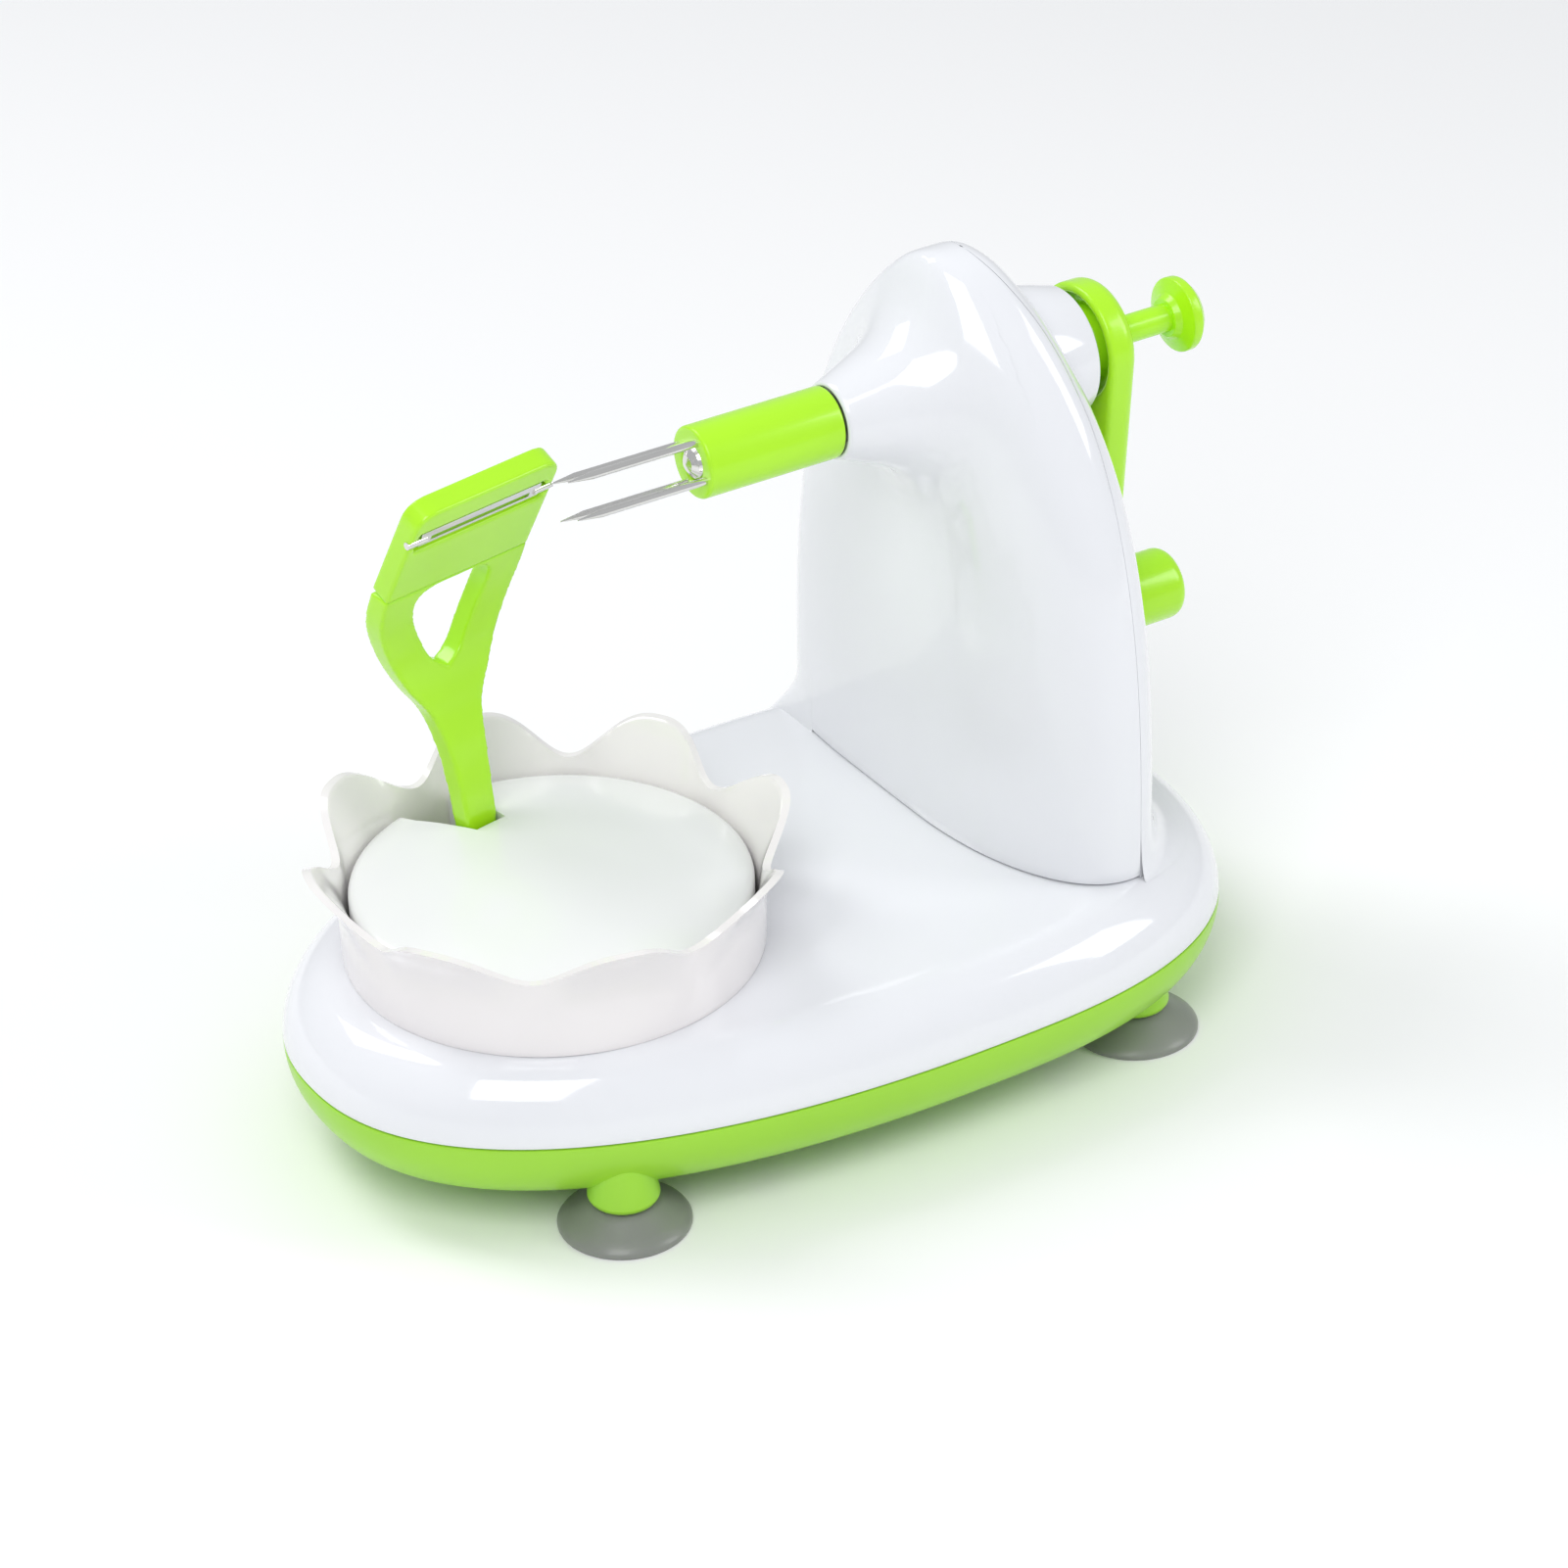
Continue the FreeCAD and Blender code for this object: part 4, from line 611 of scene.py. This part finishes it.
def edge_rounding(rings, side, lip=2.0):
    """Turns both ends of each half ring inward, for a rounded edge along the joint."""
    steps = ((0.04, None), (0.04, 0.3), (0.01, 0.08))
    out = []
    for ring in rings:
        inward = min(lip, abs(ring[0].y))
        ends = []
        for tip in (ring[0], ring[-1]):
            turned = []
            for back, drop in steps:
                width = abs(tip.y) - inward if drop is None else max(abs(tip.y) - drop, 0)
                turned.append(Vector((tip.x - side * back, math.copysign(width, tip.y), tip.z)))
            ends.append(turned)
        out.append(ends[0] + ring + list(reversed(ends[1])))
    return out


def tower_cover():
    """The front cover, its foot turned under, and a dark strip below it that paints the shade in the gap."""
    foot, foot_lift = 0.35, 0.3
    levels = tower_levels(foot / (CROWN - BASE_TOP))
    first = levels[0]
    rings = [chain(first, -1, 1.6), chain(first, -1, 0.35)]
    rings.append([p + Vector((0, 0, 0.08)) for p in chain(first, -1, 0.1)])
    rings.append([p + Vector((0, 0, foot_lift)) for p in chain(first, -1)])
    rings += [chain(level, -1) for level in levels[1:]]
    verts, faces = skin(edge_rounding(rings, -1), close_ring=False)
    cover = by_angle(finish_mesh("tower_cover_skin", verts, faces, WHITE), 60)
    piece(cover, "base", "white_plastic", "tower_front_cover")

    # a dark strip set back under the cover's foot: painted shade for the gap there
    gap_inset = 0.9
    rings = [[p + Vector((0, 0, rise)) for p in chain(0.0, -1, gap_inset)] for rise in (-0.05, 0.6)]
    verts, faces = skin(rings, close_ring=False)
    piece(finish_mesh("tower_foot_gap", verts, faces, SHADOW_GAP), "base", "white_plastic")


def tower_nose():
    """The nose: its bore, its rounded rim and its cone, out to the cover's own surface."""
    angles = around(120)
    rings = []
    for x, radius in ((30.0, NOSE_BORE), (NOSE_RIM + 0.4, NOSE_BORE), (NOSE_RIM + 0.05, 6.75), (NOSE_RIM, 7.05),
                      (NOSE_RIM + 0.1, 7.3)):
        rings.append([Vector((x, radius * math.cos(a), FORK + radius * math.sin(a))) for a in angles])
    for radius in [NOSE_BORE + (NOSE_REACH - NOSE_BORE) * (j / 44) ** 1.25 for j in range(45)]:
        if radius <= NOSE[0].x:
            continue
        ring = []
        for a in angles:
            reach = min(radius, silhouette_reach(a))
            y, z = reach * math.cos(a), reach * math.sin(a) + FORK
            ring.append(Vector((nose_surface(reach, y, z), y, z)))
        rings.append(ring)
    verts, faces = skin(rings)
    nose = by_angle(finish_mesh("tower_nose_skin", verts, faces, WHITE), 60)
    piece(nose, "base", "white_plastic")


def tower_rear():
    """The rear shell, up to where the joint runs off its back, and the crank's boss."""
    low, high = 0.9, 1.0
    for _ in range(24):
        middle = (low + high) / 2
        _, _, reach, height = tower_at(middle)
        if WIDEST + reach > joint_at(height) + 0.1:
            low = middle
        else:
            high = middle
    rings = [chain(0.0, 1, 2.0)] + [chain(level, 1) for level in tower_levels(0.0, low)]
    verts, faces = skin(edge_rounding(rings, 1), close_ring=False)
    rear = by_angle(finish_mesh("tower_rear_skin", verts, faces, WHITE), 60)
    piece(rear, "base", "white_plastic", "tower_rear_shell")

    profile = rounded([(50, 8.0), (50, 15.6), (61.7, 14.5), (69.7, 12.5, 0.8), (69.7, 8.0, 0.3)])
    boss = by_angle(lathe("tower_boss_skin", profile, WHITE, "X", (0, 0, FORK), 128), 40)
    piece(boss, "base", "white_plastic")


def silhouette_reach(angle):
    """How far from the fork's axis the cover's face reaches in a direction, a little inside its edge."""
    reach = NOSE_BORE
    while reach < NOSE_REACH:
        y, z = reach * math.cos(angle), FORK + reach * math.sin(angle)
        level = level_at(z)
        if level > 0.985 or abs(y) > tower_side(level, y > 0)[1] * 0.93:
            break
        reach += 0.25
    return reach


def flare():
    """The hollow sweep where the far side and the rear of the tower run into the base."""
    rise, spread, shelf, far_end = 13.0, 9.5, 2.6, 34.9
    outline = chain(rise / (CROWN - BASE_TOP), 1, far=far_end)
    columns = []
    for start, way, out in zip(outline, *flare_reaches(outline, spread, shelf)):
        columns.append(flare_column(start, way, out, rise))
    wall = [Vector((p.x, p.y, min(p.z, base_height(p.x, p.y)) - 0.05)) for p in columns[-1]]
    verts, faces = skin(columns + [wall], close_ring=False)
    skirt = by_angle(finish_mesh("tower_flare_skin", verts, faces, WHITE), 50)
    piece(skirt, "base", "white_plastic")


def flare_reaches(outline, spread, shelf):
    """Which way and how far the sweep runs out from each point: least at the near joint, and within the base."""
    side = max(p.y for p in outline)
    last = len(outline) - 1
    ways, reaches = [], []
    for i, start in enumerate(outline):
        along = outline[min(i + 1, last)] - outline[max(i - 1, 0)]
        way = Vector((along.y, -along.x, 0)).normalized()
        out = spread * (0.04 + 0.96 * eased(min(1.0, i / 22.0)))
        if start.y > 0 and start.x < WIDEST:
            way = Vector((0, 1, 0))
            out += side - start.y
        while out > 0.6 and not inside(start.x + way.x * out, start.y + way.y * out, shelf):
            out -= 0.1
        ways.append(way)
        reaches.append(out)
    for _ in range(12):
        windows = [reaches[max(i - 2, 0):i + 3] for i in range(last + 1)]
        reaches = [sum(window) / len(window) for window in windows]
    return ways, reaches


def flare_column(start, way, out, rise, steps=16):
    """A curve that leaves the tower downward and meets the base along its surface."""
    end = start + way * out
    end.z = base_height(end.x, end.y)
    ahead, behind = end + way * 0.4, end - way * 0.4
    slope = (base_height(ahead.x, ahead.y) - base_height(behind.x, behind.y)) / 0.8
    one = start + Vector((0, 0, -rise * 0.62))
    two = end - way * out * 0.6 - Vector((0, 0, slope * out * 0.6))
    column = []
    for step in range(steps + 1):
        t = step / steps
        point = start * (1 - t) ** 3 + one * 3 * t * (1 - t) ** 2 + two * 3 * t * t * (1 - t) + end * t ** 3
        column.append(point + Vector((0, 0, 0.03)))
    return column


# ---------------------------------------------------------------- table and bowl
def turn_table(obj):
    """Turns a piece drawn round the table's own axis, arm on +Y, to its rest place."""
    obj.data.transform(Matrix.Translation(Vector((TABLE_X * MM, 0, 0))) @ Matrix.Rotation(ARM_ANGLE, 4, "Z"))
    return obj


SLOT = [(-3.5, 17.0), (3.5, 17.0), (6.3, 32.2), (6.3, 60.0), (-6.3, 60.0), (-6.3, 32.2)]


def table_disc():
    """The domed table: its rim, its dome outside and inside, and the arm's slot."""
    sphere = (TABLE_R ** 2 + TABLE_DOME ** 2) / (2 * TABLE_DOME)
    centre = TABLE_EDGE + TABLE_DOME - sphere

    def dome(radius, drop=0.0):
        """The dome's height at a distance from the table's axis."""
        return centre - drop + math.sqrt(sphere ** 2 - radius ** 2)

    profile = [(38.2, 36.2), (38.2, 37.9), (38.5, 38.2)]
    profile += [(TABLE_EDGE - 0.9, 38.2), (TABLE_EDGE - 0.3, 38.0), (dome(37.5) - 0.03, 37.5)]
    profile += [(dome(r), r) for r in (36.5, 35, 33, 30, 27, 24, 21, 18, 15, 12, 9, 6, 3, 0)]
    profile += [(dome(r, 2.0), r) for r in (0, 6, 12, 18, 24, 30, 34, 36.2)]
    disc = lathe("table_disc_skin", profile, TABLE_WHITE, "Z", (0, 0, 0), 192)
    clean(disc)
    slot = finish_mesh("slot", *skin([[(x, y, z) for x, y in SLOT] for z in (30, 70)], cap_start=True, cap_end=True),
                       None, smooth=False)
    boolean(disc, slot, "DIFFERENCE")
    bevel = disc.modifiers.new("bevel", "BEVEL")
    bevel.width = 0.25 * MM
    bevel.segments = 2
    bevel.limit_method = "ANGLE"
    bevel.angle_limit = math.radians(60)
    applied(disc)
    by_angle(disc, 35)
    turn_table(disc)
    piece(disc, "turntable", "white_table_plastic", "turntable_disc")


PETALS, VALLEY_ANGLE = 8, math.radians(10.0)


def petal(angle):
    """0 in a valley between two petals and 1 at a petal's tip."""
    return 1 - (0.5 + 0.5 * math.cos(PETALS * (angle - VALLEY_ANGLE))) ** 1.35


def bowl():
    """The petal bowl: an upright wall that flares out into eight petals with a rounded rim."""
    radius, wall, petal_reach = 40.6, 1.6, 47.0
    valley_top, petal_rise = 52.5, 7.5
    rows, rim_steps = 34, 8
    foot_inset, foot_lift = 0.1, Vector((0, 0, 0.08))

    def point(angle, share, inset):
        lobe = petal(angle)
        reach = (petal_reach - radius) * (0.12 + 0.88 * lobe)
        height = valley_top + petal_rise * lobe
        spread = max(0.0, (share - 0.45) / 0.55) ** 1.8
        r = radius - inset - 0.5 * (1 - share) + reach * spread
        return Vector((r * math.cos(angle), r * math.sin(angle), BASE_TOP + (height - BASE_TOP) * share))

    angles = around(512)
    rings = [[point(a, 0.0, 0.5) for a in angles]]
    rings.append([point(a, 0.0, foot_inset) + foot_lift for a in angles])
    for j in range(1, rows + 1):
        rings.append([point(a, j / rows, 0.0) for a in angles])
    for step in range(1, rim_steps):
        inset = wall / 2 * (1 - math.cos(math.pi * step / rim_steps))
        rings.append([point(a, 1.0, inset) for a in angles])
    for j in range(rows, 0, -1):
        rings.append([point(a, j / rows, wall) for a in angles])
    rings.append([point(a, 0.0, wall - foot_inset) + foot_lift for a in angles])
    rings.append([point(a, 0.0, wall - 0.5) for a in angles])
    verts, faces = skin(rings, close_loft=True)
    shell = by_angle(finish_mesh("petal_bowl_skin", verts, faces, BOWL_WHITE), 60)
    shell.data.transform(Matrix.Translation(Vector((TABLE_X * MM, 0, 0))))
    piece(shell, "bowl", "warm_white_plastic", "petal_bowl")


# ---------------------------------------------------------------- peeling arm
SPINE = [(21.5, 38.0), (21.5, 45.0), (21.6, 53.0), (24.0, 67.0), (27.0, 77.0), (29.3, 87.0), (28.3, 97.0),
         (24.4, 107.0)]
HEAD_TOP = (12.5, 129.0)
ARM_WIDTHS = [(3.3, 38.0), (3.3, 47.0), (3.6, 56.0), (4.3, 68.0), (6.0, 76.5), (9.8, 83.0), (13.6, 91.0),
              (16.5, 99.5), (17.0, 107.0)]
ARM_HALF, ARM_THICK = 17.0, 4.6
HOLE = [(0, 85.0), (3.4, 87.6), (6.6, 94.0), (8.7, 100.0), (8.3, 104.0), (5.0, 105.4), (0, 105.5), (-5.0, 105.4),
        (-8.3, 104.0), (-8.7, 100.0), (-6.6, 94.0), (-3.4, 87.6)]


HEAD_LENGTH = (Vector(HEAD_TOP) - Vector(SPINE[-1])).length
HEAD_LEAN = math.atan2(SPINE[-1][0] - HEAD_TOP[0], HEAD_TOP[1] - SPINE[-1][1])


def to_head(obj):
    """Stands an object drawn upright in XZ on the arm's end, along the head's lean."""
    foot = Vector((0, SPINE[-1][0], SPINE[-1][1]))
    obj.data.transform(Matrix.Translation(foot * MM) @ Matrix.Rotation(HEAD_LEAN, 4, "X"))
    return obj


def extruded(name, outline, low, high, axis):
    """A prism from (u, z) points: along X from a YZ outline, or along Y from an XZ outline."""
    rings = []
    for end in (low, high):
        rings.append([Vector((end, u, z)) if axis == "X" else Vector((u, end, z)) for u, z in outline])
    verts, faces = skin(rings, cap_start=True, cap_end=True)
    return finish_mesh(name, verts, faces, None, smooth=False)


def arm_frame():
    """The arm: its curved side view cut to its front view, with the finger hole and the pivot barrel."""
    spine = smooth_curve(SPINE, 8)
    left, right = [], []
    for i, p in enumerate(spine):
        tangent = (spine[min(i + 1, len(spine) - 1)] - spine[max(i - 1, 0)]).normalized()
        normal = Vector((tangent.y, -tangent.x))
        left.append(p + normal * ARM_THICK / 2)
        right.append(p - normal * ARM_THICK / 2)
    body = extruded("arm_skin", left + list(reversed(right)), -30, 30, "X")
    widths = smooth_curve(ARM_WIDTHS, 6)
    front = extruded("front", [(w, z) for w, z in widths] + [(-w, z) for w, z in reversed(widths)], 0, 60, "Y")
    boolean(body, front, "INTERSECT")
    ring = smooth_curve(HOLE + HOLE[:1], 8)[:-1]
    boolean(body, extruded("hole", ring, 0, 60, "Y"), "DIFFERENCE")
    barrel = tube_between("barrel", (-5.7, 21.5, 38), (5.7, 21.5, 38), 4.0)
    boolean(body, barrel, "UNION")
    softened(body, LIME, 0.35, passes=9)
    turn_table(body)
    piece(body, "arm", "lime_plastic", "arm_frame")


def blade_holder():
    """The head on the arm's end: a rounded plate with the blade's window and a notch for each of its pins."""
    foot, corner, window_drop, window_half = 0.1, 4.6, 8.0, 2.6
    half = ARM_HALF
    outline = rounded([(-half, foot), (-half, HEAD_LENGTH, corner), (half, HEAD_LENGTH, corner), (half, foot)],
                      steps=10)
    head = extruded("head_skin", [(p.x, p.y) for p in outline], -ARM_THICK / 2, ARM_THICK / 2, "Y")
    at = HEAD_LENGTH - window_drop
    boolean(head, box("window", (-15.1, -10, at - window_half), (15.1, 10, at + window_half)), "DIFFERENCE")
    for low, high in ((-16.6, -14.9), (14.9, 16.6)):
        boolean(head, box("notch", (low, -10, at - 1.1), (high, -0.8, at + 1.1)), "DIFFERENCE")
    softened(head, LIME, 0.3, passes=10)
    to_head(head)
    turn_table(head)
    piece(head, "arm", "lime_plastic", "blade_holder")


# ---------------------------------------------------------------- fork, crank, ejector
def fork_sleeve():
    """The sleeve that carries the prongs, open at its front."""
    profile = rounded([(-13.0, 3.6, 0.3), (-13.0, 7.0, 0.7), (16.2, 7.0, 0.7), (16.2, 5.0, 0.2), (-8.0, 5.0),
                       (-8.0, 3.6)], closed=True)
    sleeve = lathe("fork_sleeve_skin", profile, LIME, "X", (0, 0, FORK), 128)
    piece(by_angle(clean(sleeve), 45), "drive", "lime_plastic", "fork_sleeve")


def ejector_button():
    """The ejector's button: a neck that spreads into a domed disc."""
    profile = rounded([(94.5, 2.8), (93.3, 2.8), (93.3, 3.8, 0.2), (94.5, 4.6, 0.6), (95.5, 7.4, 0.5), (97.3, 7.4, 0.9),
                       (98.9, 5.6, 1.5), (99.7, 3.4, 2.0), (100.0, 0)], steps=5)
    profile += [Vector((95.5, 0)), Vector((95.5, 2.8))]
    button = lathe("ejector_button_skin", profile, LIME, "X", (0, 0, FORK), 96)
    piece(by_angle(clean(button), 50), "ejector", "lime_plastic", "ejector_button")


def crank_grip():
    """The grip: a short rounded knob, hollow over the pin and its head."""
    profile = rounded([(79.1, 2.55), (79.1, 7.2, 0.7), (95.4, 7.2, 2.6), (95.4, 0)], steps=8)
    profile += [Vector((92.4, 0)), Vector((92.4, 3.6)), Vector((90.1, 3.6)), Vector((90.1, 2.55))]
    grip = lathe("crank_grip_skin", profile, LIME, "X", (0, 0, FORK - CRANK_REACH), 96)
    piece(by_angle(clean(grip), 50), "grip", "lime_plastic", "crank_grip")


def teardrop(large, small, distance, steps=40):
    """A circle about the fork's axis and a smaller one below it, joined by their tangents, as (y, z)."""
    turn = math.asin((large - small) / distance)
    points = []
    for i in range(steps + 1):
        angle = -turn + (math.pi + 2 * turn) * i / steps
        points.append((large * math.cos(angle), FORK + large * math.sin(angle)))
    for i in range(steps + 1):
        angle = math.pi + turn + (math.pi - 2 * turn) * i / steps
        points.append((small * math.cos(angle), FORK - distance + small * math.sin(angle)))
    return points


def crank():
    """The crank: a flat teardrop, rounded outside, with a cup over the tower's boss and its bores."""
    front, rear, edge, edge_steps = 72.5, 78.8, 2.6, 8
    sections = [(front, 3.0), (front, 0.7), (front + 0.2, 0.2), (front + 0.7, 0.0)]
    for i in range(edge_steps + 1):
        turn = math.pi / 2 * i / edge_steps
        sections.append((rear - edge + edge * math.sin(turn), edge * (1 - math.cos(turn))))
    sections.append((rear, 4.4))
    rings = []
    for x, inset in sections:
        rings.append([Vector((x, y, z)) for y, z in teardrop(12.3 - inset, 6.4 - inset, CRANK_REACH)])
    verts, faces = skin(rings, cap_start=True, cap_end=True)
    plate = finish_mesh("crank_skin", verts, faces, None)
    cup_end = front + 3.4
    cup = lathe("cup", [(front - 1, 7.4), (front - 1, 10.4), (cup_end, 10.2), (cup_end, 7.4)], None, "X",
                (0, 0, FORK), 96)
    boolean(plate, cup, "DIFFERENCE")
    ahead = 60
    for name, end, drop, radius in (("bore", 76.6, 0, 5.0), ("rod", 90, 0, 3.15), ("pin", 90, CRANK_REACH, 2.5),
                                    ("recess", front + 1.6, CRANK_REACH, 4.3)):
        height = FORK - drop
        boolean(plate, tube_between(name, (ahead, 0, height), (end, 0, height), radius), "DIFFERENCE")
    softened(plate, LIME, 0.35, passes=4)
    piece(plate, "drive", "lime_plastic", "crank_arm")


# ---------------------------------------------------------------- CAD nodes that stay
KEPT = {
    STEEL: ("main_shaft", "lay_shaft", "idler_axle", "arm_pivot_pin", "grip_pin", "ejector_collar"),
    LIME: ("ejector_rod",),
    BRIGHT: ("fork_prongs", "ejector_tip", "peeler_blade"),
    WIRE: ("ejector_spring", "arm_spring"),
    SCREW: ("base_screws", "tower_screws", "cover_screws", "table_screw", "table_washer", "disc_screws",
            "carrier_screws"),
    ACETAL: ("front_bushing", "rear_bushing", "upper_bushing", "lower_bushing", "mitre_gear_main", "mitre_gear_lay",
             "lay_pinion", "idler_gear", "turntable_carrier", "turntable_gear"),
}


def dress_cad():
    """Gives the CAD nodes that stay their materials."""
    for material, names in KEPT.items():
        for name in names:
            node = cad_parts[name]
            node.data.materials.clear()
            node.data.materials.append(material)


# ---------------------------------------------------------------- light, floor, camera
def area(name, place, target, size, power):
    """A soft rectangular light aimed at a point, all in metres and watts."""
    data = bpy.data.lights.new(name, "AREA")
    data.shape = "RECTANGLE"
    data.size, data.size_y = size
    data.energy = power
    light = bpy.data.objects.new(name, data)
    bpy.context.scene.collection.objects.link(light)
    light.location = place
    light.rotation_euler = (Vector(target) - Vector(place)).to_track_quat("-Z", "Y").to_euler()


def studio():
    """A plain pale floor, an even sky and three soft lights."""
    reach = 6000
    verts = [(-reach, -reach, 0), (reach, -reach, 0), (reach, reach, 0), (-reach, reach, 0)]
    floor_material = bpy.data.materials.new("floor")
    floor_material.use_nodes = True
    shader = floor_material.node_tree.nodes["Principled BSDF"]
    shader.inputs["Base Color"].default_value = (0.95, 0.95, 0.95, 1)
    shader.inputs["Roughness"].default_value = 0.6
    shader.inputs["Specular IOR Level"].default_value = 0.2
    ground = finish_mesh("floor", verts, [(0, 1, 2, 3)], floor_material, smooth=False)
    world = bpy.context.scene.world or bpy.data.worlds.new("studio")
    bpy.context.scene.world = world
    world.use_nodes = True
    world.node_tree.nodes["Background"].inputs["Color"].default_value = (0.95, 0.97, 1.0, 1)
    world.node_tree.nodes["Background"].inputs["Strength"].default_value = 0.6
    area("key", (-0.55, -0.55, 0.95), (0, 0, 0.06), (0.5, 0.7), 4.8)
    area("window", (-0.35, 0.55, 0.9), (0, 0, 0.08), (0.35, 0.6), 3.4)
    area("side", (0.75, -0.55, 0.6), (0, 0, 0.08), (0.35, 0.5), 2.3)


def camera():
    """The camera, placed by its position and its right, up and back directions."""
    place = Vector((-0.426622, -0.704026, 0.545661))
    data = bpy.data.cameras.new("camera")
    data.sensor_width = 36.0
    data.lens = 115.014
    data.clip_start, data.clip_end = 0.05, 20.0
    view = bpy.data.objects.new("camera", data)
    bpy.context.scene.collection.objects.link(view)
    right = Vector((0.84495831, -0.53430912, -0.02364788))
    up = Vector((0.29125229, 0.42260263, 0.85824188))
    back = Vector((-0.4485728, -0.7320661, 0.51270036))
    turn = Matrix((right, up, back)).transposed().to_4x4()
    view.matrix_world = Matrix.Translation(place) @ turn
    bpy.context.scene.camera = view


base_top()
base_bottom()
suction_cups()
tower_cover()
tower_nose()
tower_rear()
flare()
table_disc()
bowl()
arm_frame()
blade_holder()
fork_sleeve()
ejector_button()
crank_grip()
crank()
dress_cad()
studio()
camera()
bpy.context.scene.view_settings.view_transform = "Standard"
